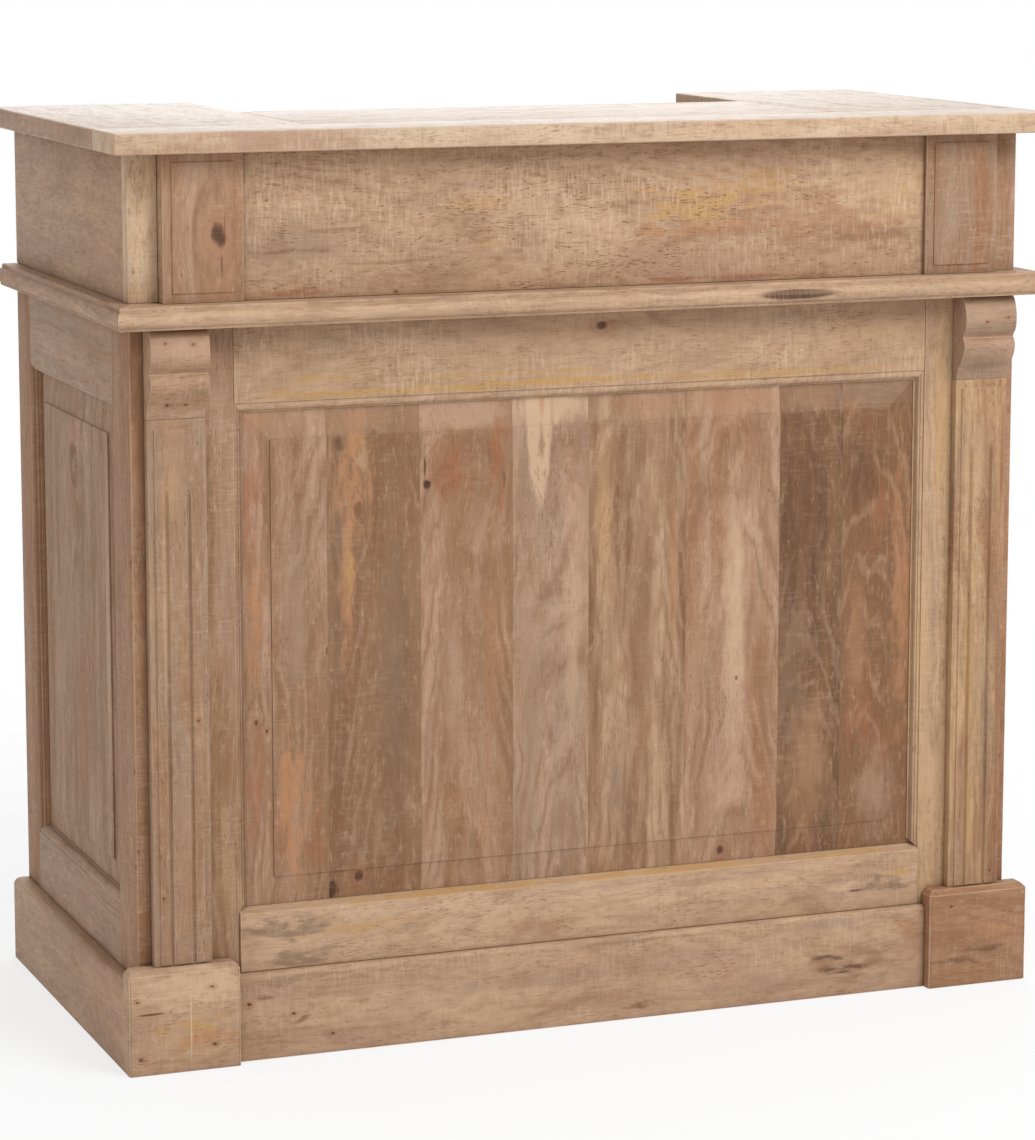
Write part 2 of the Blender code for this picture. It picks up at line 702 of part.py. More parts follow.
def build_corbel(side, word):
    """A carved bracket under the cornice: upper bulge, neck, lower bulge and a swept foot."""
    outer = SIDE_OUTER - PILASTER_OUTER
    back = FRAME_FACE - TOUCH
    foot = (PILASTER_THICK, PILASTER_TOP + TOUCH)
    lower = (CORBEL_LOWER_BULGE, CORNICE_BASE - CORBEL_LOWER_DROP)
    neck = (CORBEL_NECK_DEPTH, CORNICE_BASE - CORBEL_NECK_DROP)
    upper = (CORBEL_UPPER_BULGE, CORNICE_BASE - CORBEL_UPPER_DROP)
    crown = (CORBEL_TOP_DEPTH, CORNICE_BASE - TOUCH)
    sweep = []
    for i in range(1, CORBEL_SWEEP_STEPS + 1):
        t = i / CORBEL_SWEEP_STEPS
        share = (1 + math.cos(math.pi * t)) / 2
        sweep.append((foot[0] + (lower[0] - foot[0]) * share, lower[1] + (foot[1] - lower[1]) * t))
    outline = ([(0, foot[1]), (0, crown[1]), crown] + swell(crown, upper, 5, True)
               + swell(upper, neck, 4, False) + swell(neck, lower, 4, True) + sweep)

    def place(out, z, t):
        return (side * t, back - out, z)

    bm = prism(outline, place, lambda out, z: outer - PILASTER_WIDTH, lambda out, z: outer)
    add_piece("corbel_" + word, bm, TAN_WOOD, smooth=True)


def rounded_board_outline(reach, height, radius):
    """Section of a base moulding: flat back, flat top, rounded upper outer edge."""
    return ([(0, 0), (0, height)]
            + [(x, z) for x, z in arc((reach - radius, height - radius), radius, 90, 0, 4)]
            + [(reach, 0)])


def build_base():
    """Base blocks, front and back baseboards and the side plinths, all standing on the floor."""
    block_back = FRAME_FACE - TOUCH
    block_inner = PLINTH_OUTER - BASE_BLOCK_WIDTH
    for side, word in SIDES:
        low, high = mirrored_box(side, (block_inner, PLINTH_OUTER),
                                 (block_back - BASE_BLOCK_THICK, block_back),
                                 (0.0, BASE_BLOCK_HEIGHT))
        bm = new_box(low, high)
        bevel_where(bm, lambda p: p.z > BASE_BLOCK_HEIGHT - TOUCH and p.y < block_back - TOUCH,
                    BASE_BLOCK_CHAMFER, 1)
        bevel_where(bm, lambda p: p.z < BASE_BLOCK_HEIGHT / 2 and p.y < block_back - TOUCH
                    and p.z > TOUCH, BASE_BLOCK_ROUND, 2)
        add_piece("base_block_" + word, bm, TAN_WOOD)

        def place_plinth(out, z, t, side=side):
            return (side * (SIDE_OUTER + TOUCH + out), t, z)

        bm = prism(rounded_board_outline(PLINTH_THICK, PLINTH_HEIGHT, PLINTH_ROUND), place_plinth,
                   lambda out, z: FRAME_FACE, lambda out, z: CARCASS_BACK)
        add_piece("side_plinth_" + word, bm, PINK_WOOD, smooth=True)

    reach = block_inner - TOUCH
    bm = prism(rounded_board_outline(BASEBOARD_THICK, PLINTH_HEIGHT, BASEBOARD_ROUND),
               lambda out, z, t: (t, FRAME_FACE - TOUCH - out, z),
               lambda out, z: -reach, lambda out, z: reach)
    add_piece("front_baseboard", bm, TAN_WOOD, smooth=True)

    half = SIDE_INNER - TOUCH
    top = FLOOR_BOARD_LEVEL - FLOOR_BOARD_THICK - TOUCH
    board("back_baseboard", (-half, FACE_Y - BACK_BASEBOARD_THICK, 0.0), (half, FACE_Y, top),
          INNER_WOOD)


def build_sides():
    """Left and right frames, each round a raised panel."""
    outer = (SIDE_FRAME_FRONT, CARCASS_BACK, 0.0, UNDER_WORKTOP)
    opening = (SIDE_FRAME_FRONT + SIDE_FRONT_STILE, CARCASS_BACK - SIDE_BACK_STILE,
               SIDE_OPENING_BOTTOM, OPENING_TOP)
    edge_depth = STICKING_DEPTH + TOUCH
    tuck = STICKING_WIDTH - TOUCH
    for side, word in SIDES:
        def place(y, z, d, side=side):
            return (side * (SIDE_OUTER - d), y, z)

        bm = framed_opening(outer, opening, SIDE_THICK, (STICKING_WIDTH, STICKING_DEPTH), place)
        add_piece("side_frame_" + word, bm, PINK_WOOD)
        bm = raised_panel(inset(opening, TOUCH), edge_depth, SIDE_THICK,
                          (tuck, tuck, tuck, tuck), BEVEL_WIDTH, place)
        add_piece("side_panel_" + word, bm, PINK_WOOD)


def build_inside():
    """Floor board, two partitions and the centre bay's shelf."""
    half = SIDE_INNER - TOUCH
    front = FRAME_BACK + TOUCH
    board("bottom_board", (-half, front, FLOOR_BOARD_LEVEL - FLOOR_BOARD_THICK),
          (half, FACE_Y, FLOOR_BOARD_LEVEL), INNER_WOOD)
    base = FLOOR_BOARD_LEVEL + TOUCH
    groove_low = SHELF_LEVEL - TOUCH
    groove_high = SHELF_LEVEL + SHELF_THICK + TOUCH
    groove_x = PARTITION_INNER + SHELF_HOUSING
    outline = [(PARTITION_INNER, base), (PARTITION_OUTER, base), (PARTITION_OUTER, UNDER_WORKTOP),
               (PARTITION_INNER, UNDER_WORKTOP), (PARTITION_INNER, groove_high),
               (groove_x, groove_high), (groove_x, groove_low), (PARTITION_INNER, groove_low)]
    for side, word in SIDES:
        bm = prism(outline, lambda x, z, t, side=side: (side * x, t, z),
                   lambda x, z: front, lambda x, z: FACE_Y)
        add_piece("partition_" + word, bm, INNER_WOOD)
    shelf_half = groove_x - TOUCH
    board("centre_shelf", (-shelf_half, front, SHELF_LEVEL),
          (shelf_half, FACE_Y - SHELF_SETBACK, SHELF_LEVEL + SHELF_THICK), INNER_WOOD)


def build_knob(name, x, z, axis):
    """A turned brass knob seated on a door or a drawer front."""
    seat = FACE_Y + TOUCH
    middle = (KNOB_NECK_END + KNOB_LENGTH) / 2
    half = (KNOB_LENGTH - KNOB_NECK_END) / 2
    profile = [(KNOB_FOOT, 0), (KNOB_FOOT, KNOB_FOOT_LENGTH), (KNOB_NECK, KNOB_NECK_START),
               (KNOB_NECK, KNOB_NECK_END)]
    for degrees in range(-50, 80, 25):
        angle = math.radians(degrees)
        profile.append((KNOB_RADIUS * math.cos(angle), middle + half * math.sin(angle)))

    def place(a, b, h):
        return (x + a, seat + h, z + b)

    add_piece(name, turned(profile, place, KNOB_SIDES), AGED_BRASS, parent=axis, smooth=True)


def hinge_barrel_profile():
    """Turned outline of the outer knuckles with the pin between them."""
    third = HINGE_HEIGHT / 3
    return [(HINGE_BARREL, 0), (HINGE_BARREL, third - TOUCH), (HINGE_PIN, third - TOUCH),
            (HINGE_PIN, 2 * third + TOUCH), (HINGE_BARREL, 2 * third + TOUCH),
            (HINGE_BARREL, HINGE_HEIGHT)]


def hinge_leaf(side, plate_x, tabs, foot):
    """Flat plate of a hinge leaf with tabs that reach its knuckles."""
    far = HINGE_Y - HINGE_LEAF_WIDTH - HINGE_BARREL
    root = HINGE_Y - HINGE_BARREL - 2 * TOUCH
    tip = HINGE_Y - HINGE_TAB_END
    outline = [(far, 0), (far, HINGE_HEIGHT), (root, HINGE_HEIGHT)]
    for low, high in reversed(tabs):
        outline += [(root, high), (tip, high), (tip, low), (root, low)]
    outline.append((root, 0))
    cleaned = [p for i, p in enumerate(outline) if p != outline[i - 1]]

    def place(y, z, t):
        return (side * t, y, foot + z)

    return prism(cleaned, place, lambda y, z: plate_x[0], lambda y, z: plate_x[1])


def joined(bm_a, bm_b, name, look, parent=None):
    """One closed body from two overlapping ones."""
    piece = add_piece(name, bm_a, look, origin=(0, 0, 0), smooth=True)
    other = add_piece(name + "_cutter", bm_b, look, origin=(0, 0, 0))
    other.hide_render = True
    other.display_type = "WIRE"
    union = piece.modifiers.new("union", "BOOLEAN")
    union.operation = "UNION"
    union.solver = "EXACT"
    union.object = other
    if parent is not None:
        for thing in (piece, other):
            thing.parent = parent
            thing.location = [-c for c in parent.location]
    return piece


def build_hinge(side, word, spot, foot, axis):
    """A butt hinge: one leaf and the pin on the side frame, the other leaf on the door."""
    third = HINGE_HEIGHT / 3
    outer_leaf = (SIDE_INNER - TOUCH - HINGE_LEAF, SIDE_INNER - TOUCH)
    door_leaf = (DOOR_OUTER_X + TOUCH, DOOR_OUTER_X + TOUCH + HINGE_LEAF)
    plate = hinge_leaf(side, outer_leaf, ((0, third - TOUCH), (2 * third + TOUCH, HINGE_HEIGHT)),
                       foot)

    def place(a, b, h):
        return (side * HINGE_X + a, HINGE_Y + b, foot + h)

    barrel = turned(hinge_barrel_profile(), place, HINGE_SIDES)
    joined(barrel, plate, "hinge_frame_leaf_%s_%s" % (word, spot), AGED_BRASS)

    plate = hinge_leaf(side, door_leaf, ((third + TOUCH, 2 * third - TOUCH),), foot)
    low, high = third + TOUCH, 2 * third - TOUCH
    rings = []
    for radius, height in ((HINGE_BARREL, low), (HINGE_BARREL, high), (HINGE_BORE, high),
                           (HINGE_BORE, low)):
        rings.append([place(radius * math.cos(2 * math.pi * k / HINGE_SIDES),
                            radius * math.sin(2 * math.pi * k / HINGE_SIDES), height)
                      for k in range(HINGE_SIDES)])
    joined(loops_body(rings, "ring"), plate, "hinge_door_leaf_%s_%s" % (word, spot), AGED_BRASS,
           axis)


def build_door(side, word):
    """A framed door with a raised panel, hung on two butt hinges at the cabinet's side."""
    axis = add_axis("door_axis_" + word, (side * HINGE_X, HINGE_Y, 0.0))
    outer = (DOOR_INNER_X, DOOR_OUTER_X, DOOR_BASE, DOOR_TOP)
    opening = (DOOR_INNER_X + DOOR_STILE, DOOR_OUTER_X - DOOR_STILE,
               DOOR_BASE + DOOR_RAIL, DOOR_TOP - DOOR_RAIL)
    sticking = (DOOR_STICKING_WIDTH, DOOR_STICKING_DEPTH)
    tuck = DOOR_STICKING_WIDTH - TOUCH

    def place(x, z, d):
        return (side * x, FACE_Y - d, z)

    bm = framed_opening(outer, opening, DOOR_THICK, sticking, place)
    add_piece("door_frame_" + word, bm, TAN_WOOD, parent=axis)
    bm = raised_panel(inset(opening, TOUCH), DOOR_STICKING_DEPTH + TOUCH, DOOR_THICK,
                      (tuck, tuck, tuck, tuck), DOOR_BEVEL_WIDTH, place)
    add_piece("door_panel_" + word, bm, TAN_WOOD, parent=axis)
    build_knob("door_knob_" + word, side * (DOOR_INNER_X + DOOR_STILE / 2), DOOR_KNOB_LEVEL, axis)
    build_hinge(side, word, "lower", DOOR_BASE + HINGE_FROM_END - HINGE_HEIGHT / 2, axis)
    build_hinge(side, word, "upper", DOOR_TOP - HINGE_FROM_END - HINGE_HEIGHT / 2, axis)


def build_drawer(side, word):
    """A drawer in the wing that runs on the work top and stops at the corner strip."""
    low_x = WING_INNER_OUT
    high_x = UPPER_SIDE_INNER
    centre_x = side * (low_x + high_x) / 2
    axis = add_axis("drawer_axis_" + word, (centre_x, FACE_Y, WORKTOP_LEVEL))
    levels = (WORKTOP_LEVEL + DRAWER_GAP, COUNTER_BASE - DRAWER_GAP)
    low, high = mirrored_box(side, (low_x + DRAWER_GAP, high_x - DRAWER_GAP),
                             (FACE_Y - DRAWER_FRONT_THICK, FACE_Y), levels)
    board("drawer_front_" + word, low, high, TAN_WOOD, parent=axis)
    rect = (low_x + DRAWER_SIDE_CLEAR, high_x - DRAWER_SIDE_CLEAR, STRIP_BACK + TOUCH,
            FACE_Y - DRAWER_FRONT_THICK - TOUCH)
    cavity = inset(rect, DRAWER_WALL)

    def place(x, y, z):
        return (side * x, y, ON_WORKTOP + z)

    rim = UNDER_COUNTER - ON_WORKTOP - DRAWER_HEADROOM
    rings = [rect_ring(place, rect, 0), rect_ring(place, rect, rim),
             rect_ring(place, cavity, rim), rect_ring(place, cavity, DRAWER_BOTTOM)]
    add_piece("drawer_tray_" + word, loops_body(rings, "caps"), INNER_WOOD, parent=axis)
    build_knob("drawer_knob_" + word, centre_x, (levels[0] + levels[1]) / 2, axis)


def main():
    """Build the whole cabinet."""
    clear_scene()
    build_counter()
    build_upper_box()
    build_cornice()
    build_worktop()
    build_front_frame()
    for side, word in SIDES:
        build_pilaster(side, word)
        build_corbel(side, word)
    build_base()
    build_sides()
    build_inside()
    for side, word in SIDES:
        build_door(side, word)
        build_drawer(side, word)


main()
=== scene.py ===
"""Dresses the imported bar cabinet: finer joinery, limed mango wood, brass, studio and camera."""

import logging
import math
from contextlib import contextmanager
from dataclasses import dataclass
from enum import Enum
from typing import Callable, Iterator, Sequence

import bpy
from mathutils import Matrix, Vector


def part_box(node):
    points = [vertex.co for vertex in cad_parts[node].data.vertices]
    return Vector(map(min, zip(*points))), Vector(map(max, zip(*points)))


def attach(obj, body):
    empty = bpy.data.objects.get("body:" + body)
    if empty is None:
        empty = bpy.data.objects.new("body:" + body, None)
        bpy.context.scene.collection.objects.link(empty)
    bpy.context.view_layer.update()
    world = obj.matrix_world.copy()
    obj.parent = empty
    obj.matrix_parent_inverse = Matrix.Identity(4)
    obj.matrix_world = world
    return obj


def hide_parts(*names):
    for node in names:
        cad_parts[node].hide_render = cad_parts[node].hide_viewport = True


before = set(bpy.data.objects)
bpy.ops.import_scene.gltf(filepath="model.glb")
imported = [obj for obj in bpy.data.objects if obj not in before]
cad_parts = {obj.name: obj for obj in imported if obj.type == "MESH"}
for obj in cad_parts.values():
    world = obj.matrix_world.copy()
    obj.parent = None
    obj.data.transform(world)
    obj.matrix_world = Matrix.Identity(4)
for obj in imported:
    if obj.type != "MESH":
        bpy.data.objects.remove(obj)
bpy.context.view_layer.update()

TOUCH = 0.0003
SMOOTH_ANGLE = math.radians(24)
MERGED = 0.000001
WELDED = 0.00002
NEAR = 0.00001
SAME_WAY = 0.99
SIDES = ((-1, "left"), (1, "right"))
WHITE = (1.0, 1.0, 1.0, 1.0)

log = logging.getLogger("bar_cabinet")

Point = Vector | tuple[float, float, float]
Rect = tuple[float, float, float, float]
Profile = list[tuple[float, float]]
Socket = bpy.types.NodeSocket


class Body(Enum):
    """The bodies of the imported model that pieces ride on."""

    CARCASS = "carcass"
    LEFT_DOOR = "left_door"
    RIGHT_DOOR = "right_door"
    LEFT_DRAWER = "left_drawer"
    RIGHT_DRAWER = "right_drawer"


class Slot(Enum):
    """The record's material slots."""

    LIMED = "limed_mango_wood"
    INNER = "inner_mango_wood"
    BRASS = "aged_brass"


class Grain(Enum):
    """Which axes run along the grain, across the face and into the board."""

    ACROSS = "XZY"
    UPRIGHT = "ZXY"
    SIDE_BACKWARD = "YZX"
    SIDE_UPRIGHT = "ZYX"
    FLAT_ACROSS = "XYZ"
    FLAT_BACKWARD = "YXZ"


class Tone(Enum):
    """Tones of the wood as sRGB hex values."""

    TAN = "B69578"
    PINKISH = "A98770"
    STRAW = "BC9B73"
    HONEY = "B58E5A"
    ORANGE = "B07E58"
    RUST = "975F40"
    REDDISH = "A07355"
    CHESTNUT = "9F785A"
    RUSSET = "95694B"
    BROWN = "8B684B"
    GREYED = "9A806B"
    SLATE = "7A614D"
    PALE = "C4A487"
    LIME = "D0B89E"
    CREAM = "C8A985"
    CHALK = "D5CBC2"
    UMBER = "593D2B"
    COCOA = "775338"
    KNOT = "472C20"
    INNER = "AA8B68"


(TAN, PINKISH, STRAW, HONEY, ORANGE, RUST, REDDISH, CHESTNUT, RUSSET, BROWN, GREYED, SLATE, PALE,
 LIME, CREAM, CHALK, UMBER, COCOA, KNOT, INNER) = Tone


def linear(code: str) -> tuple[float, float, float, float]:
    """Turn an sRGB hex value into linear RGBA.

    Args:
        code: six hex digits.

    Returns:
        Linear red, green, blue and an alpha of one.
    """
    shares = [int(code[i:i + 2], 16) / 255 for i in (0, 2, 4)]
    red, green, blue = [s / 12.92 if s <= 0.04045 else ((s + 0.055) / 1.055) ** 2.4 for s in shares]
    return (red, green, blue, 1.0)


@dataclass(frozen=True)
class Mark:
    """A knot, stain or streak at its place on a board's face, in millimetres.

    along and across are measured on the grain's own axes, length and width are half sizes, edge
    is the share of them over which it fades, flow is how far the grain parts round it, and rings
    is how many growth rings show in it.
    """

    along: float
    across: float
    length: float
    width: float
    tone: Tone
    strength: float = 0.8
    edge: float = 0.7
    flow: float = 0.0
    ragged: float = 0.5
    rings: float = 0.0


def knot(along: float, across: float, size: float, flow: float = 0.8) -> tuple[Mark, ...]:
    """A dark knot with rings and a reddish halo, in millimetres.

    Args:
        along: place along the grain.
        across: place across the grain.
        size: half width of the dark core.
        flow: how far the grain parts round it.

    Returns:
        The halo, the rings and the core.
    """
    halo = Mark(along, across, size * 4.2, size * 2.6, RUST, 0.5, 0.95, flow, 0.35)
    circles = Mark(along, across, size * 3.0, size * 2.0, UMBER, 0.45, 0.9, 0.0, 0.25, 2.5)
    core = Mark(along, across, size * 1.15, size * 0.85, KNOT, 0.85, 0.6, 0.0, 0.5)
    return (halo, circles, core)


# Knots, stains and streaks by piece, at the places where they are seen. A key without its side
# stands for the pieces on both sides.
MARKS: dict[str, tuple[Mark, ...]] = {
    "top_front_board": (
        Mark(-420, -298, 220, 6, PINKISH, 0.7, 0.6, 0, 0.4),
    ),
    "frieze_board": (
        Mark(130, 1005, 85, 34, HONEY, 0.9, 0.8, 0, 1.2),
        Mark(210, 1030, 60, 30, HONEY, 0.7, 0.8, 0, 1.4),
        Mark(330, 1005, 120, 55, CREAM, 0.8, 0.8, 0, 1.0),
        Mark(410, 1005, 50, 60, STRAW, 0.8, 0.9, 0, 1.2),
        Mark(120, 935, 150, 28, PINKISH, 0.8, 0.9, 0, 0.8),
        Mark(330, 930, 120, 28, TAN, 0.8, 0.9, 0, 0.8),
        Mark(150, 974, 120, 12, ORANGE, 0.8, 0.8, 0, 1.6),
        Mark(260, 972, 160, 14, CHESTNUT, 0.85, 0.8, 0, 1.8),
        Mark(360, 962, 85, 13, BROWN, 0.9, 0.8, 0, 1.6),
        Mark(370, 974, 55, 7, RUST, 0.7, 0.8, 0, 1.6),
        Mark(180, 917, 150, 4, RUST, 0.6, 0.8, 0, 1.0),
        Mark(40, 1010, 50, 6, BROWN, 0.6, 0.8, 0, 1.6),
        Mark(230, 999, 35, 6, BROWN, 0.6, 0.8, 0, 1.6),
        Mark(280, 1010, 30, 20, BROWN, 0.4, 0.95),
        Mark(290, 990, 190, 65, CHESTNUT, 0.8, 0.95, 0, 1.2),
        Mark(-370, 975, 120, 45, GREYED, 0.6, 0.95),
        Mark(-390, 967, 60, 5, COCOA, 0.6, 0.9, 0, 0.9),
        Mark(-330, 990, 70, 4, COCOA, 0.55, 0.9, 0, 0.9),
        Mark(-240, 950, 90, 5, BROWN, 0.6, 0.9, 0, 0.9),
        Mark(-150, 1015, 60, 12, HONEY, 0.55, 0.9),
        Mark(-130, 967, 35, 7, HONEY, 0.6, 0.9),
        Mark(-380, 917, 60, 6, REDDISH, 0.8, 0.8),
        Mark(-20, 985, 110, 35, PALE, 0.5, 0.95),
    ),
    "frieze_block_left": (
        Mark(994, -476, 62, 32, COCOA, 0.6, 0.4, 0.7, 0.3),
        Mark(990, -472, 54, 27, TAN, 0.6, 0.5, 0, 0.5),
        *knot(988, -470, 12.5, 0),
        Mark(955, -466, 22, 1.4, UMBER, 0.75, 0.6, 0, 0.8),
        Mark(1000, -462, 20, 1.2, UMBER, 0.5, 0.6, 0, 0.8),
    ),
    "upper_side_left": (
        Mark(1000, 37, 50, 26, REDDISH, 0.35, 0.95, 0.7),
        Mark(1000, 37, 18, 9, BROWN, 0.5, 0.8),
    ),
    "cornice_front": (
        Mark(252, 897, 60, 7.5, UMBER, 1.0, 0.4, 0, 0.15),
        Mark(360, 900, 120, 10, STRAW, 0.4, 0.95),
        Mark(-450, 902, 60, 8, CREAM, 0.4, 0.95),
    ),
    "front_stave_1": (
        Mark(660, -430, 90, 22, RUST, 0.6, 0.9, 0, 1.2),
        Mark(520, -422, 100, 14, ORANGE, 0.7, 0.9, 0, 1.2),
        Mark(330, -425, 100, 16, RUST, 0.6, 0.9, 0, 1.2),
        Mark(310, -380, 120, 22, ORANGE, 0.8, 0.95, 0, 1.3),
        Mark(260, -350, 50, 14, RUST, 0.5, 0.9, 0, 1.2),
        Mark(550, -372, 180, 24, GREYED, 0.6, 0.95),
        Mark(770, -420, 20, 30, REDDISH, 0.6, 0.8, 0, 0.9),
        *knot(407, -423, 3.5), *knot(396, -410, 2.5),
    ),
    "front_stave_2": (
        Mark(450, -250, 260, 32, SLATE, 0.65, 0.95),
        Mark(600, -318, 200, 10, SLATE, 0.5, 0.9),
        Mark(690, -300, 100, 26, ORANGE, 0.7, 0.9, 0.6, 1.2),
        Mark(570, -308, 130, 13, ORANGE, 0.7, 0.95, 0, 1.2),
        Mark(590, -306, 50, 7, HONEY, 0.6, 0.95, 0, 1.2),
        Mark(716, -288, 18, 9, CREAM, 0.4, 0.9, 0, 1.2),
        Mark(655, -295, 34, 15, COCOA, 0.8, 0.9, 0, 0.3, 3.0),
        Mark(655, -295, 12, 5, COCOA, 0.8, 0.7),
        Mark(735, -320, 16, 8, UMBER, 0.75, 0.8, 0, 0.9),
        Mark(765, -290, 20, 30, REDDISH, 0.8, 0.9),
        *knot(209, -297, 7, 0.5),
        Mark(197, -329, 14, 8, KNOT, 0.95, 0.5, 0, 0.8),
    ),
    "front_stave_3": (
        Mark(765, -165, 22, 80, PINKISH, 0.8, 0.5),
        Mark(697, -178, 55, 42, RUST, 0.75, 0.95, 0.5, 0.6),
        Mark(690, -186, 36, 30, COCOA, 0.45, 0.9, 0, 0.4, 2.0),
        Mark(681, -208, 6.5, 6.5, KNOT, 1.0, 0.5),
        Mark(701, -211, 18, 2.4, UMBER, 0.9, 0.6, 0, 0.4),
        Mark(700, -118, 85, 18, RUST, 0.7, 0.9, 0, 1.2),
        Mark(440, -128, 180, 14, REDDISH, 0.6, 0.95),
        Mark(450, -175, 160, 20, PINKISH, 0.7, 0.95),
        Mark(682, -110, 12, 3, UMBER, 0.6, 0.8, 0, 0.9),
    ),
    "front_stave_4": (
        Mark(765, -50, 24, 60, PALE, 0.7, 0.5),
        Mark(775, -65, 148, 22, SLATE, 0.45, 0.3, 0.6, 0.1),
        Mark(775, -65, 143, 19, PALE, 0.85, 0.25, 0, 0.1),
        Mark(775, -60, 30, 5, ORANGE, 0.8, 0.8),
        Mark(725, -63, 35, 6, COCOA, 0.6, 0.9, 0, 0.9),
        Mark(500, -20, 200, 16, PALE, 0.5, 0.95),
        Mark(400, -75, 180, 18, GREYED, 0.6, 0.95),
    ),
    "front_stave_5": (
        Mark(765, 80, 22, 60, REDDISH, 0.5, 0.6),
        Mark(420, 72, 260, 20, BROWN, 0.7, 0.95),
        Mark(300, 35, 130, 22, SLATE, 0.55, 0.95),
        Mark(620, 20, 120, 16, HONEY, 0.5, 0.95),
        Mark(550, 112, 150, 10, ORANGE, 0.5, 0.9),
    ),
    "front_stave_6": (
        Mark(765, 190, 22, 60, REDDISH, 0.6, 0.6),
        Mark(500, 195, 260, 24, PALE, 0.75, 0.95),
        Mark(460, 145, 200, 12, CHESTNUT, 0.6, 0.95),
        Mark(400, 236, 200, 12, BROWN, 0.5, 0.95),
        *knot(198, 179, 6.5, 0.5),
    ),
    "front_stave_7": (
        Mark(630, 290, 170, 40, UMBER, 0.6, 0.95, 0, 1.0),
        Mark(420, 270, 140, 30, SLATE, 0.7, 0.95, 0, 1.0),
        Mark(300, 300, 130, 40, CHESTNUT, 0.7, 0.95),
        Mark(765, 300, 22, 40, BROWN, 0.6, 0.6),
    ),
    "front_stave_8": (
        Mark(765, 390, 22, 70, SLATE, 0.6, 0.6),
        Mark(670, 370, 70, 35, UMBER, 0.6, 0.9, 0, 1.0),
        Mark(500, 425, 240, 20, ORANGE, 0.6, 0.95, 0, 1.0),
        Mark(450, 360, 140, 20, REDDISH, 0.6, 0.9),
        Mark(260, 390, 90, 40, PINKISH, 0.6, 0.95),
    ),
    "front_top_rail": (
        Mark(-20, 799, 240, 6, HONEY, 1.0, 0.8, 0, 0.8),
        Mark(-100, 811, 140, 4, HONEY, 0.8, 0.8, 0, 0.8),
        Mark(-340, 815, 50, 5, HONEY, 0.8, 0.8, 0, 0.8),
        Mark(-240, 796, 200, 6, HONEY, 1.0, 0.8, 0, 0.8),
        Mark(250, 796, 220, 7, HONEY, 0.8, 0.9, 0, 0.8),
        Mark(370, 840, 70, 20, STRAW, 0.5, 0.95),
        Mark(-390, 803, 30, 4, HONEY, 0.6, 0.8),
        *knot(14, 864, 6.5, 0.8),
    ),
    "front_stile_right": (
        Mark(720, 470, 160, 12, HONEY, 0.6, 0.95),
        Mark(400, 450, 140, 20, STRAW, 0.55, 0.95),
        Mark(480, 466, 70, 8, GREYED, 0.5, 0.9),
    ),
    "front_stile_left": (
        Mark(600, -461, 200, 10, GREYED, 0.4, 0.95),
        Mark(860, -468, 30, 4, BROWN, 0.55, 0.9),
        Mark(260, -466, 100, 10, STRAW, 0.4, 0.95),
    ),
    "front_bottom_rail": (
        Mark(-390, 155, 80, 16, SLATE, 0.75, 0.9, 0, 1.4),
        Mark(-370, 118, 60, 12, SLATE, 0.7, 0.9, 0, 1.4),
        Mark(-280, 150, 100, 14, HONEY, 0.6, 0.9, 0, 1.4),
        Mark(-200, 181, 240, 6, HONEY, 0.9, 0.9, 0, 0.8),
        Mark(120, 181, 240, 6, HONEY, 0.8, 0.9, 0, 0.8),
        Mark(360, 181, 80, 5, HONEY, 0.75, 0.9, 0, 0.8),
        Mark(-50, 130, 120, 12, CHESTNUT, 0.6, 0.9, 0, 1.4),
        Mark(160, 150, 120, 14, PALE, 0.6, 0.9, 0, 1.4),
        Mark(385, 140, 60, 16, SLATE, 0.75, 0.9, 0, 1.4),
        Mark(420, 152, 30, 10, HONEY, 0.7, 0.9, 0, 1.2),
        Mark(360, 133, 14, 2, KNOT, 0.8, 0.7),
        Mark(230, 155, 60, 8, STRAW, 0.4, 0.9),
    ),
    "pilaster_left": (
        Mark(550, -538, 140, 6, CREAM, 0.5, 0.95),
        Mark(300, -520, 140, 10, GREYED, 0.4, 0.95),
        *knot(210, -545, 2), *knot(420, -500, 2),
    ),
    "pilaster_right": (
        Mark(620, 513, 140, 12, STRAW, 0.6, 0.95),
        Mark(400, 509, 160, 7, HONEY, 0.75, 0.9),
        Mark(220, 512, 100, 8, HONEY, 0.6, 0.9),
        Mark(330, 535, 170, 12, SLATE, 0.6, 0.95),
        *knot(145, 545, 2),
    ),
    "corbel_left": (
        *knot(-540, 868, 2.2, 0.3), *knot(-507, 866, 2.5, 0.3),
        *knot(-535, 795, 2.2, 0.3), *knot(-512, 794, 2, 0.3),
    ),
    "corbel_right": (
        *knot(516, 852, 2, 0.3), *knot(545, 856, 2.5, 0.3),
        Mark(514, 845, 14, 6, BROWN, 0.45, 0.9),
        Mark(541, 845, 8, 5, BROWN, 0.4, 0.9),
        Mark(520, 795, 30, 14, SLATE, 0.5, 0.95),
    ),
    "base_block_left": (
        Mark(-500, 100, 120, 34, PALE, 0.85, 0.8, 0, 0.9),
        Mark(-510, 52, 60, 18, HONEY, 0.8, 0.7, 0, 1.4),
        Mark(-500, 38, 50, 14, ORANGE, 0.7, 0.8, 0, 1.4),
        Mark(-517, 55, 1.2, 60, LIME, 0.6, 0.5, 0, 0.1),
        Mark(-575, 50, 20, 50, PINKISH, 0.7, 0.9),
        Mark(-565, 74, 22, 1.8, KNOT, 0.85, 0.6),
        *knot(-491, 101, 2.5, 0.5), *knot(-580, 20, 3, 0.5), *knot(-488, 30, 2.8, 0.5),
        *knot(-582, 90, 2, 0.5),
    ),
    "base_block_right": (
        Mark(520, 46, 60, 7, UMBER, 0.6, 0.9, 0, 1.0),
        Mark(490, 34, 40, 5, UMBER, 0.6, 0.8, 0, 1.0),
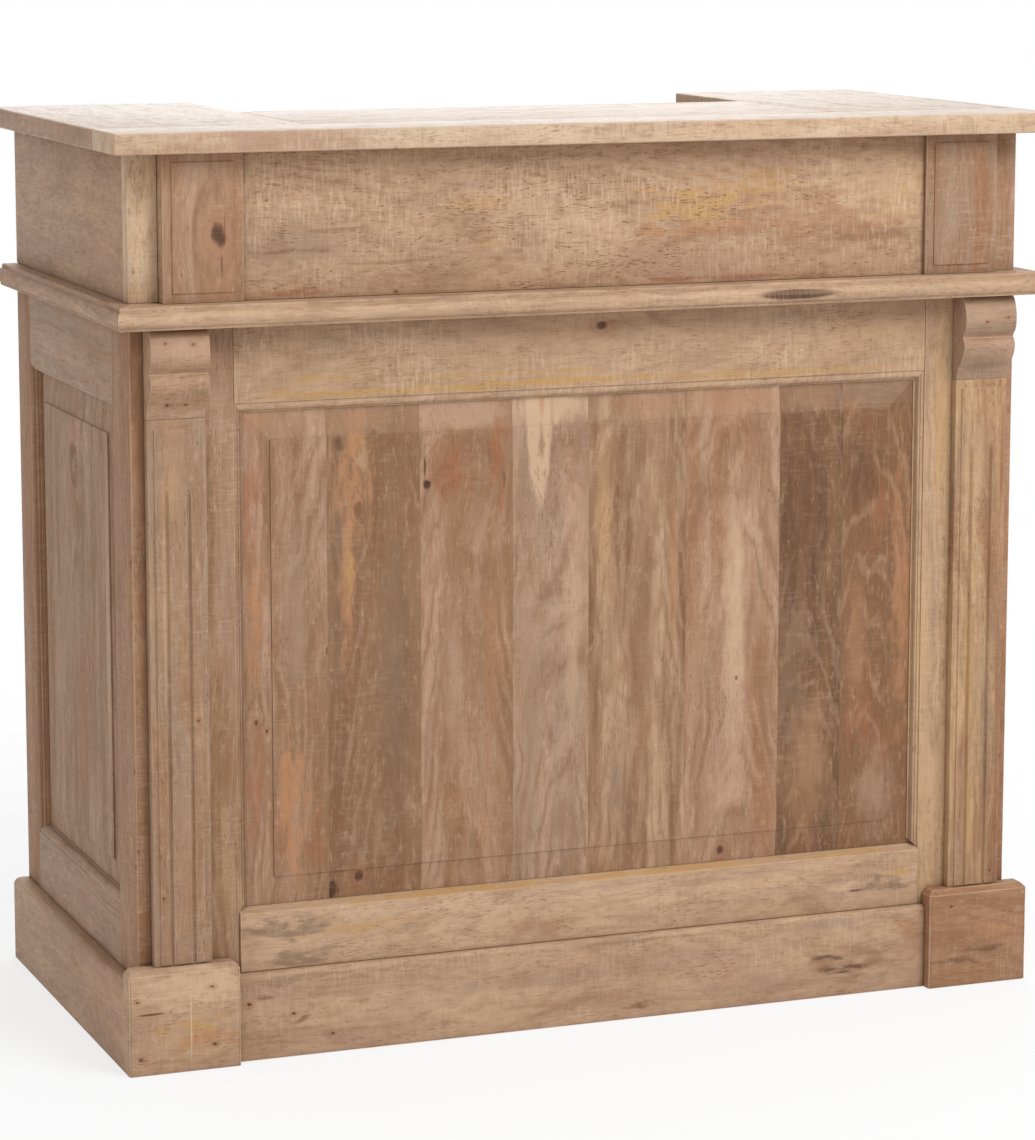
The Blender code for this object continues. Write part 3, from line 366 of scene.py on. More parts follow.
        Mark(480, 80, 20, 20, BROWN, 0.6, 0.9, 0, 1.0),
        Mark(550, 70, 50, 14, ORANGE, 0.5, 0.95),
        *knot(486, 105, 2.5, 0.5),
    ),
    "front_baseboard": (
        Mark(355, 45, 75, 22, BROWN, 0.7, 0.9, 0, 1.2),
        Mark(347, 36, 40, 9, UMBER, 0.85, 0.8, 0, 1.2),
        Mark(322, 52, 26, 5, UMBER, 0.8, 0.8, 0, 1.4),
        Mark(440, 70, 16, 30, CHESTNUT, 0.8, 0.8, 0, 1.0),
        Mark(63, 17, 24, 7, COCOA, 0.8, 0.8, 0, 1.2),
        Mark(335, 30, 22, 3, KNOT, 0.7, 0.8, 0, 1.4),
        Mark(-425, 78, 14, 4, COCOA, 0.7, 0.8, 0, 1.4),
        Mark(-375, 45, 12, 5, COCOA, 0.7, 0.8, 0, 1.4),
        Mark(-200, 50, 200, 30, PALE, 0.5, 0.95, 0, 1.2),
        Mark(424, 81, 18, 10, ORANGE, 0.5, 0.9),
        Mark(-100, 60, 160, 12, GREYED, 0.4, 0.95),
        Mark(-330, 95, 100, 8, SLATE, 0.5, 0.9, 0, 1.2),
        Mark(50, 98, 120, 5, SLATE, 0.5, 0.9, 0, 1.2),
        Mark(340, 94, 90, 10, GREYED, 0.6, 0.9, 0, 1.2),
        Mark(-50, 30, 140, 10, CHESTNUT, 0.4, 0.9, 0, 1.2),
        *knot(-441, 70, 3, 0.5), *knot(-386, 53, 2.8, 0.5),
        *knot(-336, 23, 2.4, 0.5),
    ),
    "side_front_stile": (
        Mark(550, -239, 280, 5, ORANGE, 0.6, 0.8, 0, 0.8),
        Mark(500, -185, 300, 8, BROWN, 0.6, 0.9, 0, 0.8),
        *knot(608, -236, 4, 0.3), *knot(545, -240, 2.2, 0.3), *knot(360, -238, 3, 0.3),
        *knot(245, -238, 3, 0.3),
    ),
    "side_front_stave": (
        Mark(686, 42, 110, 30, RUST, 0.5, 0.9, 0.8, 0.4),
        Mark(686, 42, 46, 34, COCOA, 0.9, 0.6, 0, 0.3, 1.5),
        Mark(700, 50, 14, 12, COCOA, 0.8, 0.7),
        Mark(480, -140, 340, 22, COCOA, 0.6, 0.6, 0, 0.3),
        Mark(480, -108, 300, 10, PALE, 0.45, 0.7, 0, 0.3),
        Mark(360, 20, 160, 30, REDDISH, 0.6, 0.95, 0, 0.8),
    ),
    "side_back_stave": (
        Mark(500, 90, 300, 40, PINKISH, 0.6, 0.95, 0, 0.8),
    ),
}


class Graph:
    """A node tree that nodes are added to."""

    def __init__(self, tree: bpy.types.NodeTree) -> None:
        """Take a tree."""
        self.tree = tree

    def feed(self, node: bpy.types.Node, inputs: dict[int | str, object]) -> None:
        """Link or set some inputs of a node.

        Args:
            node: the node.
            inputs: a value or an output socket for each input, by name or number.
        """
        for key, value in inputs.items():
            if isinstance(value, Socket):
                self.tree.links.new(value, node.inputs[key])
            else:
                node.inputs[key].default_value = value

    def add(self, kind: str, inputs: dict[int | str, object], out: int | None = 0, **settings) -> Socket:
        """Add a node with its settings and links.

        Args:
            kind: the node's type name after ShaderNode.
            inputs: a value or an output socket for each input, by name or number.
            out: which of the node's outputs is wanted, or None for all of them.
            settings: the node's own properties.

        Returns:
            The wanted output socket, or all of them in order.
        """
        node = self.tree.nodes.new("ShaderNode" + kind)
        for name, value in settings.items():
            setattr(node, name, value)
        self.feed(node, inputs)
        return node.outputs if out is None else node.outputs[out]


class Pattern(Enum):
    """Patterns in the wood: length and width of their features in mm, detail and roughness."""

    DRIFT = (260, 90, 2.0, 0.5)
    STREAKS = (380, 30, 3.0, 0.6)
    PATCHES = (130, 46, 4.0, 0.62)
    GREY_AREAS = (110, 36, 4.0, 0.65)
    RING_AREAS = (150, 50, 3.0, 0.55)
    SMUDGES = (70, 32, 5.0, 0.7)
    MOTTLE = (17, 8, 4.0, 0.72)
    FIBRES = (34, 2.2, 3.0, 0.65)
    RAGGED = (34, 11, 3.0, 0.5)
    PORES = (9.0, 1.7, 1.0, 0.5)
    PORE_AREAS = (90, 34, 2.0, 0.5)
    SAW_MARKS = (3.0, 24.0, 2.0, 0.6)
    SAWN_AREAS = (130, 90, 2.0, 0.5)
    RUBBED = (60, 30, 3.0, 0.5)


@dataclass(frozen=True)
class MangoWood:
    """Solid mango wood, band-sawn, limed and waxed.

    It gives the eye short dark pores along the grain, pale lime left in the fine saw marks across it, soft
    growth figure, patches of orange, grey and brown, pin knots, and pale eased edges that are partly worn
    and partly painted highlight; it also carries painted shade in corners and small steps, and painted light
    on tops and on raised panels' top slopes.
    seed picks the board's place in the log, and heart is where the line that the growth rings
    run round meets the board, along and across the grain, in metres.
    """

    name: str
    grain: Grain
    seed: int
    base: Tone = TAN
    second: Tone = PINKISH
    patch: Tone = HONEY
    patch_share: float = 0.35
    grey_share: float = 0.35
    saw: float = 0.5
    figure: float = 0.35
    pores: float = 0.5
    mottle: float = 0.4
    shade: float = 0.5
    # painted_shade: how strongly painted shade darkens corners and the small steps round raised fields
    painted_shade: float = 0.5
    limed_and_lit_top: float = 0.0
    heart: tuple[float, float] = (0.0, 0.0)

    def material(self) -> bpy.types.Material:
        """Put the wood's nodes together."""
        return WoodNodes(self).build()


class WoodNodes(Graph):
    """The layers of one piece's wood, from its ground colour to the painted shade in its corners."""

    ring_mm = 10.0
    ring_slant = 0.15
    ring_wander = 0.035
    broad_share = 0.27
    heart_depth = 0.012
    fibre_sway = (0.0, 0.045, 0.03)
    elsewhere = (3.1, 5.7, 1.9)
    part_length = 2.2
    part_width = 2.6
    tear = 2.4
    ring_lift = 0.35
    pin_knot_mm = 75.0
    pin_knot_squash = 0.6
    corner_reach = 0.008
    relief_mm = 0.35
    relief_strength = 0.7
    pore_depth = 0.8
    roughness = 0.62
    specular = 0.25

    def __init__(self, wood: MangoWood) -> None:
        """Start the material and lay out the coordinates that its patterns read.

        Args:
            wood: what the piece's wood is like.
        """
        self.wood = wood
        self.marks = MARKS.get(wood.name) or MARKS.get(wood.name.rsplit("_", 1)[0], ())
        self.material = bpy.data.materials.new(wood.name + "_mango")
        self.material.use_nodes = True
        super().__init__(self.material.node_tree)
        seed = wood.seed
        self.log_place = (seed * 1.37 % 11, seed * 2.71 % 13, seed * 0.83 % 7)
        self.place = self._along_grain()
        self.board = self._in_log(self.place)
        self.flowing = self._swaying(self._in_log(self._parted()))
        self.colour: Socket | tuple = linear(wood.base.value)

    def build(self) -> bpy.types.Material:
        """Lay all the layers in order.

        Returns:
            The finished material.
        """
        self._ground()
        self._rings()
        self._texture()
        self._placed_marks()
        self._pin_knots()
        self._pores()
        self._saw_marks()
        self._edges_and_painted_light()
        self._surface()
        return self.material

    def _along_grain(self) -> Socket:
        """Object coordinates turned so that X runs along the grain and Y across the face.

        Returns:
            The turned coordinates.
        """
        spot = self.add("TexCoord", {}, out=3)
        split = self.add("SeparateXYZ", {0: spot}, out=None)
        order = ["XYZ".index(axis) for axis in self.wood.grain.value]
        return self.add("CombineXYZ", {i: split[axis] for i, axis in enumerate(order)})

    def _in_log(self, place: Socket) -> Socket:
        """Move each board to its own part of the log."""
        return self.add("VectorMath", {0: place, 1: self.log_place}, operation="ADD")

    def _parted(self) -> Socket:
        """The coordinates with the grain's lines pushed apart round each knot.

        Returns:
            The changed coordinates.
        """
        place = self.place
        for mark in self.marks:
            if mark.flow == 0.0:
                continue
            centre = (mark.along / 1000, mark.across / 1000, 0.0)
            reach = (1000 / (mark.length * self.part_length),
                     1000 / (mark.width * self.part_width), 0.0)
            away = self.add("VectorMath", {0: place, 1: centre}, operation="SUBTRACT")
            scaled = self.add("VectorMath", {0: away, 1: reach}, operation="MULTIPLY")
            far = self.add("VectorMath", {0: scaled}, out=1, operation="LENGTH")
            near = self.add("MapRange", {0: far, 1: 0.0, 2: 1.0, 3: mark.flow, 4: 0.0},
                            interpolation_type="SMOOTHERSTEP")
            sideways = self.add("VectorMath", {0: away, 1: (0, 1, 0)}, operation="MULTIPLY")
            push = self.add("VectorMath", {0: sideways, 3: near}, operation="SCALE")
            place = self.add("VectorMath", {0: place, 1: push}, operation="SUBTRACT")
        return place

    def _swaying(self, board: Socket) -> Socket:
        """Let the fibres wander a few millimetres as they run along the board.

        Args:
            board: the board's coordinates.

        Returns:
            The changed coordinates.
        """
        drift = self._stretched(board, Pattern.DRIFT)
        centred = self.add("Math", {0: drift, 1: 0.5}, operation="SUBTRACT")
        sideways = self.add("VectorMath", {0: self.fibre_sway, 3: centred}, operation="SCALE")
        return self.add("VectorMath", {0: board, 1: sideways}, operation="ADD")

    def _stretched(self, place: Socket, pattern: Pattern, out: int = 0) -> Socket:
        """Noise whose features have a real length and width.

        Args:
            place: the coordinates that it reads, in metres.
            pattern: its sizes and detail.
            out: 0 for a value, 1 for a colour.

        Returns:
            A value or a colour from zero to one.
        """
        along, across, detail, roughness = pattern.value
        scale = (1000 / along, 1000 / across, 1000 / across)
        fitted = self.add("VectorMath", {0: place, 1: scale}, operation="MULTIPLY")
        inputs = {"Vector": fitted, "Scale": 1.0, "Detail": detail, "Roughness": roughness}
        return self.add("TexNoise", inputs, out)

    def _lay(self, share: Socket, over: Tone, low: float, high: float, top: float) -> None:
        """Lay a tone over the colour where a value passes a threshold.

        Args:
            share: the value that decides.
            over: the tone laid over the colour.
            low: where it starts to show.
            high: where it shows most.
            top: how much it covers there.
        """
        cover = self.add("MapRange", {0: share, 1: low, 2: high, 3: 0.0, 4: top},
                         interpolation_type="SMOOTHSTEP")
        self.colour = self.add("Mix", {0: cover, 6: self.colour, 7: linear(over.value)}, out=2,
                               data_type="RGBA")

    def _lay_aspect(self, aspect: str, over: Tone, top: float) -> None:
        """Lay a tone over the faces that a piece's attribute marks."""
        self._lay(self.add("Attribute", {}, out=2, attribute_name=aspect), over, 0.0, 1.0, top)

    def _ground(self) -> None:
        """Base tone with broad streaks, patches, greyed areas and a top painted pale, partly as lime and
        partly as painted top light and sheen.
        """
        wood = self.wood
        streaks = self._stretched(self.flowing, Pattern.STREAKS)
        self._lay(streaks, wood.second, 0.36, 0.64, 0.9)
        patches = self._stretched(self.flowing, Pattern.PATCHES)
        self._lay(patches, wood.patch, 0.48, 0.72, wood.patch_share)
        shifted = self.add("VectorMath", {0: self.flowing, 1: self.elsewhere}, operation="ADD")
        greys = self._stretched(shifted, Pattern.GREY_AREAS)
        self._lay(greys, GREYED, 0.46, 0.70, wood.grey_share)
        # Tops painted pale towards chalk: partly lime, partly painted top light and sheen.
        if wood.limed_and_lit_top:
            self._lay_aspect("upward", CHALK, wood.limed_and_lit_top)

    def _rings(self) -> None:
        """Growth rings cut at a slant: arches along the heart line and stripes beside it."""
        along, across, _ = self.log_place
        figure = self.wood.figure
        heart = (along + self.wood.heart[0], across + self.wood.heart[1], 0.0)
        away = self.add("VectorMath", {0: self.flowing, 1: heart}, operation="SUBTRACT")
        ahead, beside, _ = self.add("SeparateXYZ", {0: away}, out=None)
        depth = self.add("Math", {0: ahead, 1: self.ring_slant, 2: self.heart_depth},
                         operation="MULTIPLY_ADD")
        reach = self.add("CombineXYZ", {0: beside, 1: depth})
        radius = self.add("VectorMath", {0: reach}, out=1, operation="LENGTH")
        areas = self._stretched(self.flowing, Pattern.RING_AREAS)
        uneven = self.add("Math", {0: areas, 1: self.ring_wander, 2: radius}, operation="MULTIPLY_ADD")
        turns = self.add("Math", {0: uneven, 1: math.tau * 1000 / self.ring_mm}, operation="MULTIPLY")
        waves = self.add("Math", {0: turns}, operation="SINE")
        clear = self.add("MapRange", {0: areas, 1: 0.38, 2: 0.58})
        fine = self.add("Math", {0: waves, 1: clear}, operation="MULTIPLY")
        slow = self.add("Math", {0: turns, 1: self.broad_share}, operation="MULTIPLY")
        broad = self.add("Math", {0: slow}, operation="SINE")
        self._lay(broad, COCOA, 0.1, 1.0, figure * 0.5)
        self._lay(fine, COCOA, 0.2, 1.0, figure * 0.7)
        self._lay(fine, PALE, -0.3, -1.0, figure * 0.3)

    def _texture(self) -> None:
        """Smudges, fine mottle and fibres, each dark on one side and pale on the other."""
        wood = self.wood
        smudges = self._stretched(self.board, Pattern.SMUDGES)
        self._lay(smudges, BROWN, 0.48, 0.72, wood.shade)
        self._lay(smudges, PALE, 0.44, 0.24, wood.shade * 0.6)
        mottle = self._stretched(self.board, Pattern.MOTTLE)
        self._lay(mottle, BROWN, 0.50, 0.76, wood.mottle)
        self._lay(mottle, PALE, 0.48, 0.24, wood.mottle)
        self.fibre = self._stretched(self.flowing, Pattern.FIBRES)
        self._lay(self.fibre, BROWN, 0.52, 0.76, 0.6)
        self._lay(self.fibre, PALE, 0.46, 0.24, 0.30)

    def _placed_marks(self) -> None:
        """Lay the knots, stains and streaks at their places."""
        if not self.marks:
            return
        jagged = self._stretched(self.board, Pattern.RAGGED, out=1)
        centred = self.add("VectorMath", {0: jagged, 1: (0.5, 0.5, 0.5)}, operation="SUBTRACT")
        for mark in self.marks:
            centre = (mark.along / 1000, mark.across / 1000, 0.0)
            away = self.add("VectorMath", {0: self.place, 1: centre}, operation="SUBTRACT")
            reach = (1000 / mark.length, 1000 / mark.width, 0.0)
            scaled = self.add("VectorMath", {0: away, 1: reach}, operation="MULTIPLY")
            torn = self.add("VectorMath", {0: centred, 1: (mark.ragged * self.tear,) * 3, 2: scaled},
                            operation="MULTIPLY_ADD")
            flat = self.add("VectorMath", {0: torn, 1: (1, 1, 0)}, operation="MULTIPLY")
            far = self.add("VectorMath", {0: flat}, out=1, operation="LENGTH")
            if mark.rings:
                far = self._ringed(far, mark.rings)
            self._lay(far, mark.tone, 1.0, 1.0 - mark.edge, mark.strength)

    def _ringed(self, far: Socket, rings: float) -> Socket:
        """Raise the distance between rings, so that a mark shows in rings only.

        Args:
            far: distance from the mark's centre, one at its edge.
            rings: how many rings it has.

        Returns:
            The raised distance.
        """
        turns = self.add("Math", {0: far, 1: math.tau * rings}, operation="MULTIPLY")
        waves = self.add("Math", {0: turns}, operation="SINE")
        lifted = self.add("Math", {0: waves, 1: self.ring_lift, 2: self.ring_lift}, operation="MULTIPLY_ADD")
        return self.add("Math", {0: far, 1: lifted}, operation="ADD")

    def _pin_knots(self) -> None:
        """Sprinkle sparse pin knots and specks."""
        pitch = 1000 / self.pin_knot_mm
        scale = (pitch * self.pin_knot_squash, pitch, pitch)
        fitted = self.add("VectorMath", {0: self.board, 1: scale}, operation="MULTIPLY")
        cells = self.add("TexVoronoi", {"Vector": fitted, "Scale": 1.0}, out=None)
        chance = self.add("SeparateColor", {0: cells["Color"]})
        size = self.add("MapRange", {0: chance, 1: 0.45, 2: 1.0, 3: 0.004, 4: 0.045})
        close = self.add("Math", {0: cells["Distance"], 1: size}, operation="DIVIDE")
        self._lay(close, UMBER, 1.25, 0.55, 0.75)

    def _pores(self) -> None:
        """Short dark vessel lines along the grain, thicker in some areas."""
        dashes = self._stretched(self.flowing, Pattern.PORES)
        crowd = self._stretched(self.flowing, Pattern.PORE_AREAS)
        lifted = self.add("Math", {0: crowd, 1: 0.5, 2: dashes}, operation="MULTIPLY_ADD")
        self.pores = self.add("MapRange", {0: lifted, 1: 0.86, 2: 1.04, 3: 0.0, 4: 1.0},
                              interpolation_type="SMOOTHSTEP")
        self._lay(self.pores, COCOA, 0.0, 1.0, self.wood.pores)

    def _saw_marks(self) -> None:
        """Fine marks across the grain with lime left in them."""
        lines = self._stretched(self.board, Pattern.SAW_MARKS)
        areas = self._stretched(self.board, Pattern.SAWN_AREAS)
        held = self.add("MapRange", {0: areas, 1: 0.36, 2: 0.62, 3: 0.2, 4: 1.0})
        cut = self.add("MapRange", {0: lines, 1: 0.46, 2: 0.74, 3: 0.0, 4: 1.0})
        self.groove = self.add("Math", {0: cut, 1: held}, operation="MULTIPLY")
        self._lay(lines, BROWN, 0.44, 0.24, self.wood.saw * 0.6)
        self._lay(self.groove, LIME, 0.0, 1.0, self.wood.saw)

    def _edges_and_painted_light(self) -> None:
        """Paint the eased edges pale, partly as worn edges and partly as painted highlight, paint light on
        the top slopes of raised panels, and paint shade on small steps and where two pieces meet.
        """
        worn = self.add("Attribute", {}, out=2, attribute_name="wear")
        uneven = self._stretched(self.board, Pattern.RUBBED)
        worn_and_lit = self.add("Math", {0: worn, 1: uneven}, operation="MULTIPLY")
        # Eased edges made pale: partly worn edges, partly painted highlight.
        self._lay(worn_and_lit, PALE, 0.2, 0.7, 0.6)
        # Painted light: the top slopes of raised panels are made paler.
        self._lay_aspect("topward", PALE, 0.15)
        # Painted shade: umber on the small side steps round raised fields.
        self._lay_aspect("stepped", UMBER, self.wood.painted_shade)
        # Painted shade: ambient occlusion darkens the colour towards umber in corners and where two pieces
        # meet.
        open_sky = self.add("AmbientOcclusion", {"Distance": self.corner_reach}, out=1, samples=4)
        self._lay(open_sky, UMBER, 0.85, 0.15, self.wood.painted_shade)

    def _surface(self) -> None:
        """Send colour, roughness and relief to the shader."""
        dull = self.add("MapRange", {0: self.fibre, 1: 0.3, 2: 0.7, 3: self.roughness - 0.08,
                                     4: self.roughness + 0.1})
        grooves = self.add("Math", {0: self.groove, 1: -0.5 * self.wood.saw, 2: self.fibre},
                           operation="MULTIPLY_ADD")
        height = self.add("Math", {0: self.pores, 1: -self.pore_depth, 2: grooves},
                          operation="MULTIPLY_ADD")
        relief = self.add("Bump", {"Height": height, "Distance": self.relief_mm / 1000,
                                   "Strength": self.relief_strength})
        self.feed(self.tree.nodes["Principled BSDF"],
                  {"Base Color": self.colour, "Roughness": dull, "Normal": relief,
                   "Specular IOR Level": self.specular})


@dataclass(frozen=True)
class AgedBrass:
    """Cast brass left to dull: warm metal with patches of dull brown stain, rougher where stained."""

    name: str
    bright: str = "B08D57"
    dull: str = "6B5434"
    stain_mm: float = 9.0
    roughness: float = 0.38

    def material(self) -> bpy.types.Material:
        """Put the brass's nodes together.

        Returns:
            The finished material.
        """
        material = bpy.data.materials.new(self.name + "_brass")
        material.use_nodes = True
        graph = Graph(material.node_tree)
        spot = graph.add("TexCoord", {}, out=3)
        stains = graph.add("TexNoise", {"Vector": spot, "Scale": 1000 / self.stain_mm, "Detail": 4.0})
        cover = graph.add("MapRange", {0: stains, 1: 0.4, 2: 0.65, 3: 0.2, 4: 0.9})
        colour = graph.add("Mix", {0: cover, 6: linear(self.bright), 7: linear(self.dull)},
                           out=2, data_type="RGBA")
        matt = graph.add("MapRange", {0: stains, 1: 0.3, 2: 0.7, 3: self.roughness - 0.1,
                                      4: self.roughness + 0.2})
        graph.feed(material.node_tree.nodes["Principled BSDF"],
                   {"Metallic": 1.0, "Base Color": colour, "Roughness": matt})
        return material


Finish = MangoWood | AgedBrass


class Workpiece:
    """A mesh object on the bench, shaped with edit-mode tools before it is dressed."""

    def __init__(self, shape: bpy.types.Object) -> None:
        """Take an object onto the bench."""
        self.shape = shape

    @classmethod
    def block(cls, name: str, one: Point, other: Point) -> "Workpiece":
        """Saw a block between two corners.

        Args:
            name: the piece's name.
            one: a corner.
            other: the opposite corner.

        Returns:
            The block, its place in its mesh.
        """
        low = Vector([min(pair) for pair in zip(one, other)])
        high = Vector([max(pair) for pair in zip(one, other)])
        bpy.ops.object.select_all(action="DESELECT")
        bpy.ops.mesh.primitive_cube_add(size=1.0, location=(low + high) / 2, scale=high - low)
        piece = cls(bpy.context.object)
        piece.shape.name = name
        bpy.ops.object.transform_apply(location=True, rotation=True, scale=True)
        return piece

    @classmethod
    @contextmanager
    def _drawn(cls, name: str, points: Sequence[Point]) -> Iterator["Workpiece"]:
        """Draw a chain of edges, selected in edit mode, and close the solid that is made of it.

        Args:
            name: the piece's name.
            points: the chain's corners in order.

        Yields:
            The piece, for the tools that make a solid of its chain.
        """
        corners = [Vector(point) for point in points]
        bpy.ops.object.select_all(action="DESELECT")
        bpy.ops.mesh.primitive_plane_add(size=0.01, location=corners[0])
        piece = cls(bpy.context.object)
        piece.shape.name = name
        with piece.editing("VERT"):
            bpy.ops.mesh.select_all(action="SELECT")
            bpy.ops.mesh.merge(type="CENTER")
            for here, there in zip(corners, corners[1:]):
                bpy.ops.mesh.extrude_vertices_move(TRANSFORM_OT_translate={"value": there - here})
            bpy.ops.mesh.select_all(action="SELECT")
            yield piece
            bpy.ops.mesh.select_all(action="SELECT")
            bpy.ops.mesh.normals_make_consistent(inside=False)
        bpy.ops.object.transform_apply(location=True, rotation=True, scale=True)

    @classmethod
    def outline(cls, name: str, points: Sequence[Point], run: Point) -> "Workpiece":
        """Draw a closed outline, fill it and draw it out along a run.

        Args:
            name: the piece's name.
            points: the outline's corners in order.
            run: how far and which way the section is drawn out.

        Returns:
            The closed length of section.
        """
        with cls._drawn(name, points) as piece:
            bpy.ops.mesh.edge_face_add()
            bpy.ops.mesh.extrude_region_move(TRANSFORM_OT_translate={"value": Vector(run)})
        return piece

    @classmethod
    def lathe(cls, name: str, points: Sequence[Point], centre: Point, axis: Point,
              steps: int) -> "Workpiece":
        """Draw a half section and spin it round an axis.

        Args:
            name: the piece's name.
            points: the half section, both ends on the axis.
            centre: a point on the axis.
            axis: the axis.
            steps: how many faces go round.

        Returns:
            The turned body.
        """
        with cls._drawn(name, points) as piece:
            bpy.ops.mesh.spin(steps=steps, angle=math.tau, center=centre, axis=axis)
            bpy.ops.mesh.select_all(action="SELECT")
            bpy.ops.mesh.remove_doubles(threshold=WELDED)
        return piece

    def copy(self, name: str) -> "Workpiece":
        """Make another piece with a mesh of its own.

        Args:
            name: the piece's name.

        Returns:
            The other piece.
        """
        self._hold()
        bpy.ops.object.duplicate(linked=False)
        bpy.context.object.name = name
        return Workpiece(bpy.context.object)

    def scrap(self) -> None:
        """Throw the piece away."""
        bpy.data.objects.remove(self.shape, do_unlink=True)

    def _hold(self) -> None:
        """Make this the only selected object and the active one."""
        bpy.ops.object.select_all(action="DESELECT")
        self.shape.select_set(True)
        bpy.context.view_layer.objects.active = self.shape

    @contextmanager
    def editing(self, mode: str) -> Iterator[None]:
        """Work in edit mode with one kind of element selectable and nothing selected.

        Args:
            mode: VERT, EDGE or FACE.
        """
        self._hold()
        bpy.ops.object.mode_set(mode="EDIT")
        bpy.ops.mesh.select_mode(type=mode)
        bpy.ops.mesh.select_all(action="DESELECT")
        yield
        bpy.ops.object.mode_set(mode="OBJECT")

    def _pick(self, mode: str, chosen: Sequence[int]) -> None:
        """Select some faces or edges; edit mode is on before and after.

        Args:
            mode: FACE or EDGE.
            chosen: their numbers.
        """
        bpy.ops.mesh.select_mode(type=mode)
        bpy.ops.mesh.select_all(action="DESELECT")
        bpy.ops.object.mode_set(mode="OBJECT")
        mesh = self.shape.data
        parts = mesh.polygons if mode == "FACE" else mesh.edges
        for number in chosen:
            parts[number].select = True
        bpy.ops.object.mode_set(mode="EDIT")

    def faces(self, test: Callable[[Vector, Vector], bool]) -> list[int]:
        """Numbers of the faces whose centre and normal pass a test."""
        return [p.index for p in self.shape.data.polygons if test(p.center, p.normal)]

    def edges(self, test: Callable[[Vector, Vector], bool]) -> list[int]:
        """Numbers of the edges whose two ends pass a test.

        Args:
            test: takes an edge's two ends.

        Returns:
            The numbers.
        """
        mesh = self.shape.data
        return [e.index for e in mesh.edges if test(*(mesh.vertices[v].co for v in e.vertices))]

    def facing(self, way: Point) -> list[int]:
        """Numbers of the faces that look one way."""
        goal = Vector(way)
        return self.faces(lambda centre, normal: normal.dot(goal) > SAME_WAY)

    def inset(self, way: Point, steps: Sequence[tuple[float, float]],
              stretch: Sequence[tuple[Point, Point]] = ()) -> "Workpiece":
        """Inset the face that looks one way, in steps of (width, rise).

        Args:
            way: where the face looks.
            steps: how far each inset goes in, and how far out of the face.
            stretch: after the first step, (side, move) pairs that move the new face's edge on
                that side.

        Returns:
            This piece.
        """
        picked = self.facing(way)
        with self.editing("FACE"):
            self._pick("FACE", picked)
            for number, (width, rise) in enumerate(steps):
                bpy.ops.mesh.inset(thickness=width, depth=rise)
                if number == 0:
                    for side, move in stretch:
                        self._move_side(side, move)
        return self

    def _move_side(self, side: Point, move: Point) -> None:
        """Move the selected face's edge on one side, then select the face again.

        Args:
            side: the side that the edge is on.
            move: how far and which way it goes.
        """
        bpy.ops.object.mode_set(mode="OBJECT")
        mesh = self.shape.data
        face = next(p for p in mesh.polygons if p.select)
        goal = Vector(side)
        reach = max(mesh.vertices[v].co.dot(goal) for v in face.vertices)
        keys = set(face.edge_keys)
        wanted = [e.index for e in mesh.edges if e.key in keys
                  and all(mesh.vertices[v].co.dot(goal) > reach - NEAR for v in e.vertices)]
        number = face.index
        bpy.ops.object.mode_set(mode="EDIT")
        self._pick("EDGE", wanted)
        bpy.ops.transform.translate(value=Vector(move))
        self._pick("FACE", [number])

    def chamfer(self, test: Callable[[Vector, Vector], bool], width: float,
                segments: int = 1) -> "Workpiece":
        """Bevel the edges whose two ends pass a test.

        Args:
            test: takes an edge's two ends.
            width: of the bevel.
            segments: how many faces it has.

        Returns:
            This piece.
        """
        picked = self.edges(test)
        with self.editing("EDGE"):
            self._pick("EDGE", picked)
            bpy.ops.mesh.bevel(offset=width, segments=segments, affect="EDGES")
        return self

    def cut(self, point: Point, normal: Point) -> "Workpiece":
        """Saw off what lies on the side of a plane that its normal points to.

        Args:
            point: a point on the plane.
            normal: the plane's normal.

        Returns:
            This piece.
        """
        with self.editing("FACE"):
            bpy.ops.mesh.select_all(action="SELECT")
            bpy.ops.mesh.bisect(plane_co=point, plane_no=Vector(normal).normalized(),
                                use_fill=True, clear_outer=True, threshold=MERGED)
            bpy.ops.mesh.select_all(action="SELECT")
            bpy.ops.mesh.normals_make_consistent(inside=False)
        return self

    def _apply(self, kind: str, **settings) -> None:
        """Add a modifier and apply it.

        Args:
            kind: the modifier's type.
            settings: its own properties.
        """
        modifier = self.shape.modifiers.new(kind.lower(), kind)
        for name, value in settings.items():
            setattr(modifier, name, value)
        self._hold()
        bpy.ops.object.modifier_apply(modifier=modifier.name)

    def soften(self, width: float, segments: int = 2, angle: float = 40.0) -> "Workpiece":
        """Ease the sharp edges and note them for their pale paint, partly worn edges and partly painted
        highlight.

        Args:
            width: of the easing.
            segments: how many faces it has.
            angle: what counts as sharp, in degrees.

        Returns:
            This piece.
        """
        mesh = self.shape.data
        while len(mesh.materials) < 2:
            mesh.materials.append(None)
        self._apply("BEVEL", width=width, segments=segments, limit_method="ANGLE",
                    angle_limit=math.radians(angle), material=1)
        return self

    def join(self, other: "Workpiece") -> "Workpiece":
        """Make one closed body of this piece and another that overlaps it."""
        return self._combine(other, "UNION")

    def carve(self, cutter: "Workpiece") -> "Workpiece":
        """Cut another body's shape out of this one."""
        return self._combine(cutter, "DIFFERENCE")

    def _combine(self, other: "Workpiece", operation: str) -> "Workpiece":
        """Join or carve this piece with another one, which is used up.

        Args:
            other: the other piece.
            operation: UNION or DIFFERENCE.

        Returns:
            This piece.
        """
        self._apply("BOOLEAN", operation=operation, solver="EXACT", object=other.shape)
        other.scrap()
        return self

    def _aspects(self, worn: Sequence[float]) -> dict[str, list[float]]:
        """Which way each face looks, for the finishes that depend on it.

        Args:
            worn: one for each eased edge's face.

        Returns:
            For each aspect, one or zero for each face: upward for tops, topward for the top slopes of raised
            panels, which get painted light, and stepped for the small side steps round their fields, which
            get painted shade.
        """
        normals = [polygon.normal for polygon in self.shape.data.polygons]
